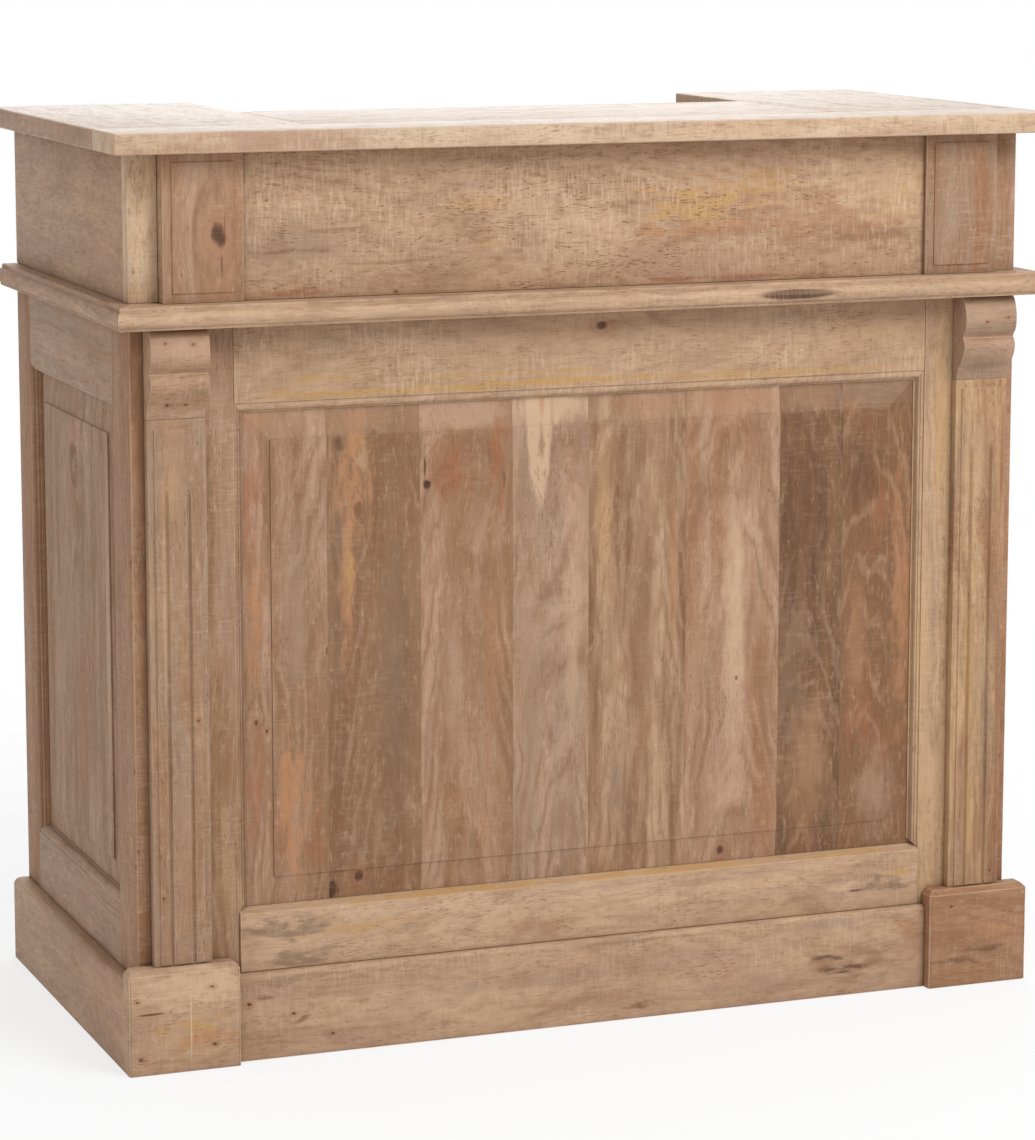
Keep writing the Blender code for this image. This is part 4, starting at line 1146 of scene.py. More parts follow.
        # Top slopes of raised panels, which get painted light.
        slopes = [0.02 < n.z < 0.4 and abs(n.y) > 0.7 for n in normals]
        # Small side steps round raised fields, which get painted shade.
        steps = [0.5 < abs(n.x) < 0.97 and abs(n.y) > 0.2 or abs(n.y) > 0.93 and abs(n.x) > 0.2
                 for n in normals]
        return {"upward": [float(n.z > 0.7) for n in normals],
                "topward": [float(hit and not w) for hit, w in zip(slopes, worn)],
                "stepped": [float(hit and not w) for hit, w in zip(steps, worn)]}

    def dress(self, finish: Finish, *stands_for: str, body: Body = Body.CARCASS,
              slot: Slot = Slot.LIMED) -> None:
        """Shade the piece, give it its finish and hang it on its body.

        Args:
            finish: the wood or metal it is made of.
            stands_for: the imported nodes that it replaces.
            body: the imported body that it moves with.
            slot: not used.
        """
        with self.editing("VERT"):
            bpy.ops.mesh.select_all(action="SELECT")
            bpy.ops.mesh.dissolve_degenerate(threshold=MERGED)
        mesh = self.shape.data
        worn = [float(p.material_index == 1) for p in mesh.polygons]
        mesh.polygons.foreach_set("material_index", [0] * len(worn))
        mesh.materials.clear()
        mesh.materials.append(finish.material())
        mesh.attributes.new("wear", "FLOAT", "FACE").data.foreach_set("value", worn)
        for name, values in self._aspects(worn).items():
            mesh.attributes.new(name, "FLOAT", "FACE").data.foreach_set("value", values)
        mesh.name = self.shape.name
        self._hold()
        bpy.ops.object.shade_smooth_by_angle(angle=SMOOTH_ANGLE)
        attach(self.shape, body.value)
        if stands_for:
            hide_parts(*stands_for)
        log.info("%s: %d faces on %s", self.shape.name, len(mesh.polygons), body.value)

    def saw_staves(self, woods: Sequence[MangoWood], joints: Sequence[float], across: Vector,
                   gap: float, ease: float, node: str, body: Body = Body.CARCASS) -> None:
        """Saw the piece into staves, which use it up, and dress them.

        Args:
            woods: the staves' woods in order, each with its stave's name.
            joints: where the joints between them lie.
            across: the direction in which the joints are counted.
            gap: half the width of a joint.
            ease: of the staves' edges.
            node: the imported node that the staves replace.
            body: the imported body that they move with.
        """
        for number, wood in enumerate(woods):
            stave = self.copy(wood.name)
            if number > 0:
                stave.cut(across * (joints[number - 1] + gap), -across)
            if number < len(joints):
                stave.cut(across * (joints[number] - gap), across)
            stave.soften(ease, 1)
            stave.dress(wood, node, body=body)
        self.scrap()


def repaint(node: str, finish: Finish) -> None:
    """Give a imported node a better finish.

    Args:
        node: the node's name.
        finish: the wood or metal it is made of.
    """
    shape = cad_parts[node]
    shape.data.materials.clear()
    shape.data.materials.append(finish.material())
    log.info("%s: packed node, new finish", node)


def arc(centre: tuple[float, float], radii: tuple[float, float], start: float, end: float,
        steps: int) -> Profile:
    """Points of an elliptic arc, both ends included.

    Args:
        centre: the ellipse's centre.
        radii: its half sizes.
        start: first angle in degrees.
        end: last angle in degrees.
        steps: how many chords it has.

    Returns:
        The points.
    """
    angles = [math.radians(start + (end - start) * i / steps) for i in range(steps + 1)]
    return [(centre[0] + radii[0] * math.cos(a), centre[1] + radii[1] * math.sin(a)) for a in angles]


@dataclass(frozen=True)
class Face:
    """A flat face of the cabinet with its own directions: across, up and into the wood."""

    plane: float
    across: Vector
    into: Vector

    def at(self, across: float, up: float, deep: float = 0.0) -> Vector:
        """World point of a place on the face."""
        normal = Vector([abs(c) for c in self.into])
        return self.across * across + Vector((0, 0, up)) + normal * self.plane + self.into * deep


@dataclass(frozen=True)
class Sticking:
    """The moulding run on a frame member's inner edge: quirk, quarter round and fillet."""

    width: float
    depth: float
    quirk: float = 0.0012
    fillet: float = 0.0022
    lap: float = 0.0015
    steps: int = 7

    def section(self) -> Profile:
        """Draw the moulding's outline.

        Returns:
            Its points as (across from the member's edge, depth behind its face).
        """
        across = self.width - self.fillet - self.quirk
        deep = self.depth - self.fillet - self.quirk
        start = (self.quirk, self.quirk + deep)
        rounded = arc(start, (across, deep), -90, 0, self.steps)
        foot = self.depth - self.fillet / 2
        return ([(-self.lap, self.quirk)] + rounded
                + [(self.width - self.fillet, foot), (self.width, foot), (self.width, self.depth),
                   (-self.lap, self.depth)])


@dataclass
class FramedPanel:
    """Two stiles and two rails with a moulded inner edge round a raised panel."""

    word: str
    face: Face
    outer: Rect
    opening: Rect
    thick: float
    sticking: Sticking
    bevel: float
    rise: float = 0.0025
    shoulder: float = 0.0018
    shoulder_run: float = 0.0009
    ease: float = 0.0011

    def member(self, name: str, rect: Rect, edge: str) -> Workpiece:
        """Make a stile or a rail with its moulding.

        Args:
            name: the piece's name.
            rect: the plain board as (across low, across high, up low, up high).
            edge: which edge carries the moulding: low, high, bottom or top.

        Returns:
            The member as one body.
        """
        a0, a1, v0, v1 = rect
        o0, o1, p0, p1 = self.opening
        board = Workpiece.block(name, self.face.at(a0, v0), self.face.at(a1, v1, self.thick))
        board.soften(self.ease)
        section = self.sticking.section()
        if edge in ("low", "high"):
            start, sign = (a1, 1) if edge == "low" else (a0, -1)
            points = [self.face.at(start + sign * w, p0, d) for w, d in section]
            strip = Workpiece.outline(name + "_strip", points, (0, 0, p1 - p0))
            for level, up in ((p0, -1), (p1, 1)):
                corner = self.face.at(start, level)
                along = self.face.across * sign + Vector((0, 0, -up))
                strip.cut(corner, self._across_of(along, Vector((0, 0, up))))
        else:
            start, sign = (v1, 1) if edge == "bottom" else (v0, -1)
            points = [self.face.at(o0, start + sign * w, d) for w, d in section]
            strip = Workpiece.outline(name + "_strip", points, self.face.across * (o1 - o0))
            for place, way in ((o0, -1), (o1, 1)):
                corner = self.face.at(place, start)
                along = Vector((0, 0, sign)) + self.face.across * -way
                strip.cut(corner, self._across_of(along, self.face.across * way))
        return board.join(strip)

    def _across_of(self, along: Vector, outside: Vector) -> Vector:
        """Normal of a mitre plane that contains a direction, turned to its waste side."""
        normal = along.cross(self.face.into)
        return normal if normal.dot(outside) > 0 else -normal

    def members(self, prefix: str) -> dict[str, Workpiece]:
        """Make all four members.

        Args:
            prefix: the start of their names.

        Returns:
            The pieces by place: low, high, bottom and top.
        """
        a0, a1, v0, v1 = self.outer
        o0, o1, p0, p1 = self.opening
        rects = {"low": (a0, o0, v0, v1), "high": (o1, a1, v0, v1),
                 "bottom": (o0 + TOUCH, o1 - TOUCH, v0, p0),
                 "top": (o0 + TOUCH, o1 - TOUCH, p1, v1)}
        return {place: self.member(prefix + "_" + place, rect, place) for place, rect in rects.items()}

    def panel(self, name: str) -> Workpiece:
        """Make the raised panel in one piece.

        Args:
            name: the piece's name.

        Returns:
            The panel.
        """
        o0, o1, p0, p1 = self.opening
        front = self.sticking.depth + TOUCH
        tuck = self.sticking.width - TOUCH
        out = -self.face.into
        panel = Workpiece.block(name, self.face.at(o0 + TOUCH, p0 + TOUCH, front),
                                self.face.at(o1 - TOUCH, p1 - TOUCH, self.thick))
        panel.inset(out, ((tuck, 0.0), (self.bevel, self.rise), (self.shoulder_run, self.shoulder)))
        return panel


@dataclass
class Counter:
    """The U-shaped counter: front board, centre board and two wing boards."""

    ease: float = 0.0024

    def build(self) -> None:
        """Make the four boards and dress them."""
        tones = {
            "top_front_board": (Grain.FLAT_ACROSS, 3, PALE, LIME, TAN),
            "top_centre_board": (Grain.FLAT_ACROSS, 9, TAN, PINKISH, PALE),
            "top_wing_left": (Grain.FLAT_BACKWARD, 14, PINKISH, GREYED, TAN),
            "top_wing_right": (Grain.FLAT_BACKWARD, 22, PINKISH, TAN, PALE),
        }
        for node, (grain, seed, *three) in tones.items():
            # The counter's tops are painted pale: partly lime, partly painted top light and sheen.
            wood = MangoWood(node, grain, seed, *three, 0.4, saw=0.55, figure=0.15, mottle=0.45, limed_and_lit_top=0.9)
            board = Workpiece.block(node + "_sawn", *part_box(node))
            board.soften(self.ease, 3)
            board.dress(wood, node)


@dataclass
class UpperBox:
    """Frieze with its blocks, corner strips, side boards and the wings' inner boards."""

    ease: float = 0.0011
    block_margin: float = 0.011
    block_raise: float = 0.0014

    def build(self) -> None:
        """Make every board and dress it."""
        self._board(MangoWood("frieze_board", Grain.ACROSS, 5, TAN, TAN, PINKISH, 0.35, 0.5,
                              saw=0.45, pores=0.75, mottle=0.9, heart=(-0.75, 0.97)))
        strips = {"left": (LIME, CREAM, STRAW), "right": (CHESTNUT, PINKISH, TAN)}
        for side, word in SIDES:
            self._block(word)
            self._board(MangoWood("upper_corner_strip_" + word, Grain.UPRIGHT, 31 + side,
                                  *strips[word], 0.5, 0.3, saw=0.4, pores=0.6, painted_shade=0.15))
            self._board(MangoWood("upper_side_" + word, Grain.SIDE_BACKWARD, 43 + side, PINKISH,
                                  TAN, REDDISH, 0.3, 0.5, saw=0.25, figure=0.08, mottle=0.6))
            self._board(MangoWood("wing_inner_side_" + word, Grain.SIDE_BACKWARD, 53 + side, TAN,
                                  PINKISH, STRAW, 0.35, 0.3, saw=0.25))

    def _block(self, word: str) -> None:
        """A block with a slightly raised field at one end of the frieze.

        Args:
            word: left or right.
        """
        node = "frieze_block_" + word
        low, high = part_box(node)
        low.y += self.block_raise
        block = Workpiece.block(node + "_planed", low, high)
        block.soften(self.ease)
        block.inset((0, -1, 0), ((self.block_margin - self.ease, 0.0),
                                 (self.block_raise / 3, self.block_raise)))
        wood = MangoWood(node, Grain.UPRIGHT, 12, RUSSET, GREYED, CHESTNUT, 0.4,
                         0.5, saw=0.25, figure=0.25, painted_shade=0.15)
        if word == "left":
            wood = MangoWood(node, Grain.UPRIGHT, 7, PINKISH, CHESTNUT, TAN, 0.4,
                             0.3, saw=0.15, figure=0.3, pores=0.4, painted_shade=0.15)
        block.dress(wood, node)

    def _board(self, wood: MangoWood) -> None:
        """A plain board, sawn to the box of the node that its wood is named after.

        Args:
            wood: of the board.
        """
        board = Workpiece.block(wood.name + "_sawn", *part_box(wood.name))
        board.soften(self.ease)
        board.dress(wood, wood.name)


@dataclass
class Cornice:
    """Three mitred lengths of moulding: fillet, half round, quirk and a flat top."""

    fillet_set: float = 0.0060
    fillet_height: float = 0.0040
    roll_top: float = 0.0215
    roll_foot: float = 0.0045
    roll_set: float = 0.0065
    quirk: float = 0.0016
    steps: int = 9
    ease: float = 0.0007

    def section(self, base: float, top: float, inner: float) -> Profile:
        """Draw the moulding's outline.

        Args:
            base: level of the underside.
            top: level of the top.
            inner: how far in the moulding reaches.

        Returns:
            Its points as (distance in from the nose, level).
        """
        low = base + self.fillet_height
        high = base + self.roll_top
        middle = (low + high) / 2
        half = (high - low) / 2
        under = arc((self.roll_foot, middle), (self.roll_foot, half), 270, 180, self.steps)
        over = arc((self.roll_set, middle), (self.roll_set, half), 180, 90, self.steps)
        edge = self.roll_set + self.quirk
        return ([(inner, base), (self.fillet_set, base), (self.fillet_set, low)] + under
                + over[1:] + [(edge, high), (edge, top - self.quirk), (edge + self.quirk, top),
                              (inner, top)])

    def build(self) -> None:
        """Make the three lengths and dress them."""
        low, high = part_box("cornice_front")
        side_low, side_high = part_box("cornice_right")
        nose_x = side_high.x
        front_reach = high.y - low.y
        side_reach = side_high.x - side_low.x
        wood = MangoWood("cornice_front", Grain.ACROSS, 61, TAN, PALE, GREYED,
                         0.45, 0.6, saw=0.2, figure=0.25, pores=0.5)
        points = [(-nose_x, low.y + q, z) for q, z in self.section(low.z, high.z, front_reach)]
        front = Workpiece.outline("cornice_front_run", points, (2 * nose_x, 0, 0))
        for side, _ in SIDES:
            front.cut((side * (nose_x - TOUCH), low.y, 0), (side * front_reach, side_reach, 0))
        front.soften(self.ease, 1, 60)
        front.dress(wood, "cornice_front")
        for side, word in SIDES:
            node = "cornice_" + word
            points = [(side * (nose_x - q), low.y, z) for q, z in self.section(low.z, high.z, side_reach)]
            length = Workpiece.outline(node + "_run", points, (0, side_high.y - low.y, 0))
            length.cut((side * nose_x, low.y + TOUCH, 0), (-side * front_reach, -side_reach, 0))
            length.soften(self.ease, 1, 60)
            wood = MangoWood(node, Grain.SIDE_BACKWARD, 63 + side, PINKISH, TAN,
                             GREYED, 0.35, 0.4, saw=0.15, pores=0.4)
            length.dress(wood, node)


@dataclass
class FrontPanel:
    """The raised panel glued up from eight upright staves, each with its own colour.

    smudged is how many staves from the left are well smudged, and smudges says how much they
    and the others are.
    """

    sticking_width: float = 0.0116
    bevel: float = 0.033
    rise: float = 0.0025
    shoulder: float = 0.0018
    shoulder_run: float = 0.0011
    joints: tuple[float, ...] = (-0.334, -0.217, -0.099, 0.000, 0.128, 0.254, 0.340)
    joint_gap: float = 0.00005
    ease: float = 0.0002
    smudged: int = 6
    smudges: tuple[float, float] = (0.7, 0.2)

    def build(self) -> None:
        """Make the whole panel and saw it into its staves."""
        low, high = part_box("front_panel")
        front = low.y + self.rise + self.shoulder
        whole = Workpiece.block("front_panel_whole", (low.x, front, low.z), high)
        tuck = self.sticking_width - TOUCH
        whole.inset((0, -1, 0),
                    ((tuck, 0.0), (self.bevel, self.rise), (self.shoulder_run, self.shoulder)),
                    [((0, 0, -1), (0, 0, TOUCH - tuck))])
        whole.saw_staves(self._woods(), self.joints, Vector((1, 0, 0)), self.joint_gap, self.ease,
                         "front_panel")

    def _woods(self) -> list[MangoWood]:
        """Choose the staves' woods by heart line and tones, from left to right.

        Returns:
            The woods.
        """
        rows = [
            (-0.30, BROWN, PINKISH, RUST, 0.4, 0.1),
            (-0.245, COCOA, BROWN, SLATE, 0.45, 0.2),
            (-0.160, BROWN, PINKISH, REDDISH, 0.6, 0.0),
            (-0.030, PINKISH, GREYED, CHESTNUT, 0.45, 0.4),
            (0.055, COCOA, TAN, CHESTNUT, 0.5, 0.15),
            (0.200, PINKISH, RUSSET, TAN, 0.4, 0.15),
            (0.290, COCOA, UMBER, BROWN, 0.6, 0.0),
            (0.375, COCOA, COCOA, RUST, 0.6, 0.0),
        ]
        return [MangoWood("front_stave_%d" % number, Grain.UPRIGHT, 70 + 3 * number, *tones,
                          saw=0.10, figure=0.6, pores=0.45,
                          shade=self.smudges[number > self.smudged], heart=(0.12, heart))
                for number, (heart, *tones) in enumerate(rows, 1)]


@dataclass
class FrontFrame:
    """Two stiles, the top rail and the proud bottom rail with its chamfer."""

    sticking: Sticking = Sticking(0.0116, 0.009, 0.0020)
    bevel: float = 0.033
    panel_lap: float = 0.004
    opening_half: float = 0.4486
    opening_top: float = 0.790
    thick: float = 0.022
    rail_proud: float = 0.0035
    rail_nose: float = 0.1785
    chamfer_rise: float = 0.006
    chamfer_run: float = 0.009
    ease: float = 0.0011

    def build(self) -> None:
        """Make the four members and dress them."""
        low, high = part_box("front_top_rail")
        stile_low, stile_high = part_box("front_stile_right")
        plane = low.y
        crest = self.rail_nose + self.chamfer_rise
        half = self.opening_half
        panel = FramedPanel("front", Face(plane, Vector((1, 0, 0)), Vector((0, 1, 0))),
                            (-stile_high.x, stile_high.x, 0.0, high.z),
                            (-half, half, crest - self.panel_lap, self.opening_top), self.thick,
                            self.sticking, self.bevel)
        rail = panel.member("front_top_rail_moulded", (low.x, high.x, self.opening_top, high.z), "top")
        wood = MangoWood("front_top_rail", Grain.ACROSS, 101, TAN, TAN, STRAW,
                         0.35, 0.5, saw=0.45, figure=0.25, heart=(-0.7, 0.84))
        rail.dress(wood, "front_top_rail")
        self._stiles(panel, stile_low, stile_high)
        self._bottom_rail(plane)

    def _stiles(self, panel: FramedPanel, low: Vector, high: Vector) -> None:
        """The two stiles, whose moulding stops on the bottom rail's chamfer.

        Args:
            panel: the frame's sizes.
            low: lowest corner of the right stile.
            high: its highest corner.
        """
        woods = {-1: MangoWood("front_stile_left", Grain.UPRIGHT, 107, BROWN, PINKISH,
                               STRAW, 0.3, 0.4, saw=0.2),
                 1: MangoWood("front_stile_right", Grain.UPRIGHT, 109, TAN, STRAW,
                              CREAM, 0.4, 0.25, saw=0.2)}
        for side, word in SIDES:
            edge = "low" if side < 0 else "high"
            span = sorted((side * self.opening_half, side * high.x))
            stile = panel.member("front_stile_%s_moulded" % word, (*span, low.z, high.z), edge)
            stile.dress(woods[side], "front_stile_" + word)

    def _bottom_rail(self, plane: float) -> None:
        """The proud rail with a sloping upper edge, rebated behind the baseboard.

        Args:
            plane: the plane of the frame's face.
        """
        low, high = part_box("front_bottom_rail")
        nose = plane - self.rail_proud
        crest = self.rail_nose + self.chamfer_rise
        board_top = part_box("front_baseboard")[1].z + TOUCH
        back = nose + self.thick
        section = [(nose, board_top), (nose, self.rail_nose), (plane + self.chamfer_run, crest),
                   (back, crest), (back, low.z), (plane, low.z), (plane, board_top)]
        rail = Workpiece.outline("front_bottom_rail_planed", [(low.x, y, z) for y, z in section],
                                 (high.x - low.x, 0, 0))
        rail.soften(self.ease, 2, 25)
        wood = MangoWood("front_bottom_rail", Grain.ACROSS, 103, TAN, PALE, PINKISH,
                         0.45, 0.4, saw=0.2, figure=0.25, heart=(0.2, 0.13))
        rail.dress(wood, "front_bottom_rail")


@dataclass
class Pilaster:
    """A flat board with a raised field and two V flutes that stop short of its top."""

    side: int
    word: str
    margin: float = 0.0070
    top_margin: float = 0.010
    field_raise: float = 0.0025
    flute_spacing: float = 0.027
    flute_width: float = 0.006
    flute_depth: float = 0.003
    flute_top: float = 0.688
    cutter_over: float = 0.001
    cutter_spare: float = 0.01
    ease: float = 0.0006

    def build(self) -> None:
        """Make the board, run its flutes and dress it."""
        node = "pilaster_" + self.word
        low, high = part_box(node)
        face = low.y
        base = Vector((low.x, low.y + self.field_raise, low.z))
        board = Workpiece.block(node + "_fluted", base, high)
        slope = self.field_raise / 2
        board.inset((0, -1, 0), ((self.margin, 0.0), (slope, self.field_raise)),
                    [((0, 0, 1), (0, 0, self.margin - self.top_margin)),
                     ((0, 0, -1), (0, 0, self.ease - self.margin))])
        centre = (low.x + high.x) / 2
        for way in (-1, 1):
            board.carve(self._flute(centre + way * self.flute_spacing / 2, face, low.z))
        board.soften(self.ease, 2, 30)
        board.dress(self._wood(node), node)

    def _flute(self, x: float, face: float, foot: float) -> Workpiece:
        """A V-shaped cutter whose upper end rises to a point.

        Args:
            x: the flute's middle.
            face: the plane of the board's field.
            foot: level of the board's lower end.

        Returns:
            The cutter.
        """
        half = self.flute_width / 2
        front = face - self.cutter_over
        wide = half * (self.flute_depth + self.cutter_over) / self.flute_depth
        low = foot - self.cutter_spare
        section = [(x - wide, front, low), (x, face + self.flute_depth, low), (x + wide, front, low)]
        length = self.flute_top - foot + 2 * self.cutter_spare
        cutter = Workpiece.outline("flute", section, (0, 0, length))
        cutter.cut((x, face, self.flute_top + self.flute_width), (0, self.flute_width, self.flute_depth))
        return cutter

    def _wood(self, node: str) -> MangoWood:
        """The wood of this side's board.

        Args:
            node: the piece's name.

        Returns:
            The wood.
        """
        left = self.side < 0
        tones = ((CHESTNUT, GREYED, STRAW) if left else (RUSSET, STRAW, GREYED))
        return MangoWood(node, Grain.UPRIGHT, 121 if left else 123, *tones, 0.4,
                         0.4 if left else 0.3, saw=0.2 if left else 0.15, painted_shade=0.15)


@dataclass
class Corbel:
    """A carved bracket under the cornice: upper bulge, neck, lower bulge and a swept foot.

    Levels are counted down from the bracket's top, and depths out from the frame's face.
    """

    word: str
    foot_depth: float = 0.0120
    top_depth: float = 0.0205
    upper_bulge: float = 0.0360
    upper_drop: float = 0.0307
    neck_depth: float = 0.0222
    neck_drop: float = 0.0511
    lower_bulge: float = 0.0325
    lower_drop: float = 0.0637
    neck_turn: float = 62.0
    steps: int = 10
    ease: float = 0.0009

    def profile(self, back: float, foot: float, top: float) -> Profile:
        """Draw the bracket's outline.

        Args:
            back: the plane that it is planted on.
            foot: level of its foot.
            top: level of its top.

        Returns:
            Its points as (depth in Y, level).
        """
        upper = top - self.upper_drop
        neck = top - self.neck_drop
        lower = top - self.lower_drop
        crown = arc((self.top_depth, upper), (self.upper_bulge - self.top_depth, top - upper),
                    90, 0, self.steps)
        tuck = arc((self.neck_depth, upper), (self.upper_bulge - self.neck_depth, upper - neck),
                   0, -self.neck_turn, self.steps)
        belly = arc((self.neck_depth, lower), (self.lower_bulge - self.neck_depth, neck - lower),
                    self.neck_turn, 0, self.steps)
        sweep = []
        for step in range(1, self.steps + 1):
            share = step / self.steps
            out = (1 + math.cos(math.pi * share)) / 2
            sweep.append((self.foot_depth + (self.lower_bulge - self.foot_depth) * out,
                          lower + (foot - lower) * share))
        points = [(0.0, foot), (0.0, top)] + crown + tuck[1:] + belly + sweep
        return [(back - out, level) for out, level in points]

    def build(self) -> None:
        """Cut the bracket from its profile and dress it."""
        node = "corbel_" + self.word
        low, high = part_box(node)
        points = [(low.x, y, z) for y, z in self.profile(high.y, low.z, high.z)]
        bracket = Workpiece.outline(node + "_carved", points, (high.x - low.x, 0, 0))
        bracket.soften(self.ease, 2, 50)
        tones = (GREYED, PINKISH, SLATE)
        if self.word == "left":
            tones = (PINKISH, CHESTNUT, TAN)
        wood = MangoWood(node, Grain.ACROSS, 131 if self.word == "left" else 133, *tones, 0.4,
                         0.5, saw=0.15, figure=0.1, pores=0.4, painted_shade=0.25)
        bracket.dress(wood, node)


@dataclass
class Base:
    """Base blocks, the front baseboard and the side plinths."""

    chamfer: float = 0.0065
    corner: float = 0.0030
    ease: float = 0.0016
    upright: float = 0.05
    plinth_round: float = 0.009
    board_round: float = 0.006
    steps: int = 7

    def build(self) -> None:
        """Make each piece and dress it."""
        for _, word in SIDES:
            self._block(word)
            self._plinth(word)
        self._baseboard()

    def _block(self, word: str) -> None:
        """A block with a chamfered top and rounded corners.

        Args:
            word: left or right.
        """
        node = "base_block_" + word
        low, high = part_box(node)
        block = Workpiece.block(node + "_sawn", low, high)
        top = high.z - TOUCH
        back = high.y - TOUCH
        block.chamfer(lambda a, b: min(a.z, b.z) > top and min(a.y, b.y) < back, self.chamfer)
        block.chamfer(lambda a, b: abs(a.z - b.z) > self.upright and min(a.y, b.y) < back, self.corner, 3)
        block.soften(self.ease, 2, 25)
        wood = MangoWood(node, Grain.ACROSS, 143, RUSSET, CHESTNUT, ORANGE, 0.35, 0.15, saw=0.25)
        if word == "left":
            wood = MangoWood(node, Grain.ACROSS, 141, TAN, PINKISH, STRAW, 0.4, 0.25, saw=0.3, figure=0.25)
        block.dress(wood, node)

    def _nosing(self, face: float, inward: int, top: float, radius: float) -> Profile:
        """Points of the rounded upper edge of a board.

        Args:
            face: the plane of its outer face.
            inward: the sign of the way into the board.
            top: level of its top.
            radius: of the rounding.

        Returns:
            The points from the top down to the face.
        """
        rounded = arc((0.0, top - radius), (radius, radius), 90, 0, self.steps)
        return [(face + inward * (radius - out), z) for out, z in rounded]

    def _plinth(self, word: str) -> None:
        """The moulded board along one side.

        Args:
            word: left or right.
        """
        node = "side_plinth_" + word
        low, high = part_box(node)
        outside, inside = (low.x, high.x) if word == "left" else (high.x, low.x)
        way = 1 if outside > inside else -1
        section = [(inside, 0.0), (inside, high.z),
                   *self._nosing(outside, -way, high.z, self.plinth_round), (outside, 0.0)]
        board = Workpiece.outline(node + "_run", [(x, low.y, z) for x, z in section],
                                  (0, high.y - low.y, 0))
        board.soften(self.ease / 2, 2, 50)
        wood = MangoWood(node, Grain.SIDE_BACKWARD, 151 if word == "left" else 157, TAN,
                         PINKISH, CHESTNUT, 0.5, 0.4, saw=0.25, figure=0.12)
        board.dress(wood, node)

    def _baseboard(self) -> None:
        """The board between the base blocks."""
        low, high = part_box("front_baseboard")
        section = [(high.y, 0.0), (high.y, high.z),
                   *self._nosing(low.y, 1, high.z, self.board_round), (low.y, 0.0)]
        board = Workpiece.outline("front_baseboard_run", [(low.x, y, z) for y, z in section],
                                  (high.x - low.x, 0, 0))
        board.soften(self.ease / 2, 2, 50)
        wood = MangoWood("front_baseboard", Grain.ACROSS, 147, TAN, PINKISH,
                         CREAM, 0.4, 0.3, saw=0.25, figure=0.3, heart=(-0.3, 0.06))
        board.dress(wood, "front_baseboard")


@dataclass
class SideFrame:
    """One side of the carcass: stiles and rails round a raised panel of two staves."""

    side: int
    word: str
    sticking: Sticking = Sticking(0.0116, 0.0125)
    bevel: float = 0.033
    rise: float = 0.0045
    shoulder: float = 0.0030
    front_stile: float = 0.079
    back_stile: float = 0.062
    opening_bottom: float = 0.181
    opening_top: float = 0.790
    joint_offset: float = 0.03
    stave_ease: float = 0.0004

    def build(self) -> None:
        """Make the members and the panel and dress them."""
        low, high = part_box("side_frame_" + self.word)
        plane = low.x if self.side < 0 else high.x
        face = Face(plane, Vector((0, 1, 0)), Vector((-self.side, 0, 0)))
        opening = (low.y + self.front_stile, high.y - self.back_stile, self.opening_bottom,
                   self.opening_top)
        framed = FramedPanel(self.word, face, (low.y, high.y, low.z, high.z), opening,
                             high.x - low.x, self.sticking, self.bevel, self.rise, self.shoulder)
        node = "side_frame_" + self.word
        names = {"low": "front_stile", "high": "back_stile", "bottom": "bottom_rail", "top": "top_rail"}
        for place, member in framed.members(node).items():
            member.shape.name = "side_%s_%s" % (names[place], self.word)
            member.dress(self._wood(place, member.shape.name), node)
        self._panel(framed)

    def _wood(self, place: str, name: str) -> MangoWood:
        """The wood of one member.

        Args:
            place: low, high, bottom or top.
            name: the piece's name.

        Returns:
            The wood.
        """
        seed = 160 + 7 * ["low", "high", "bottom", "top"].index(place) + self.side
        upright = place in ("low", "high")
        return MangoWood(name, Grain.SIDE_UPRIGHT if upright else Grain.SIDE_BACKWARD, seed,
                         RUSSET if upright else PINKISH,
                         CHESTNUT if upright else GREYED, TAN, 0.3, 0.4,
                         saw=0.2)

    def _panel(self, framed: FramedPanel) -> None:
        """The raised panel, sawn into two staves.

        Args:
            framed: the frame round it.
        """
        node = "side_panel_" + self.word
        whole = framed.panel(node + "_whole")
        joint = (framed.opening[0] + framed.opening[1]) / 2 + self.joint_offset
        woods = [MangoWood("side_%s_stave_%s" % (word, self.word), Grain.SIDE_UPRIGHT,
                           seed + self.side, BROWN, PINKISH, REDDISH, 0.35, 0.4, saw=0.15,
                           figure=0.5, heart=(0.3, 0.03))
                 for word, seed in (("front", 201), ("back", 207))]
        whole.saw_staves(woods, [joint], framed.face.across, 0.0, self.stave_ease, node)


@dataclass
class Knob:
    """A turned brass knob with a foot, a neck and a flattened ball."""

    node: str
    body: Body
    foot: float = 0.0085
    neck: float = 0.0062
    ball: float = 0.0150
    foot_length: float = 0.0022
    neck_end: float = 0.0085
    ease: float = 0.0005
    foot_ease: float = 0.0006
    cove: float = 0.003
    steps: int = 12
    turns: int = 40

    def build(self) -> None:
        """Turn the knob and dress it."""
        low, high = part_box(self.node)
        x = (low.x + high.x) / 2
        z = (low.z + high.z) / 2
        seat = low.y
        length = high.y - low.y
        middle = (self.neck_end + length) / 2
        half = (length - self.neck_end) / 2
        shoulder = self.foot - self.foot_ease
        half_section = [(0.0, 0.0), (self.foot - self.ease, 0.0), (self.foot, self.ease),
                        (self.foot, self.foot_length - self.ease), (shoulder, self.foot_length)]
        half_section += arc((shoulder, self.foot_length + self.cove),
                            (shoulder - self.neck, self.cove), -90, -180, 5)[1:]
        start = math.degrees(math.acos(self.neck / self.ball))
        half_section += arc((0.0, middle), (self.ball, half), -start, 90, self.steps)
        points = [(x + r, seat + h, z) for r, h in half_section]
        knob = Workpiece.lathe(self.node + "_turned", points, (x, seat, z), (0, 1, 0), self.turns)
        knob.dress(AgedBrass(self.node), self.node, body=self.body, slot=Slot.BRASS)


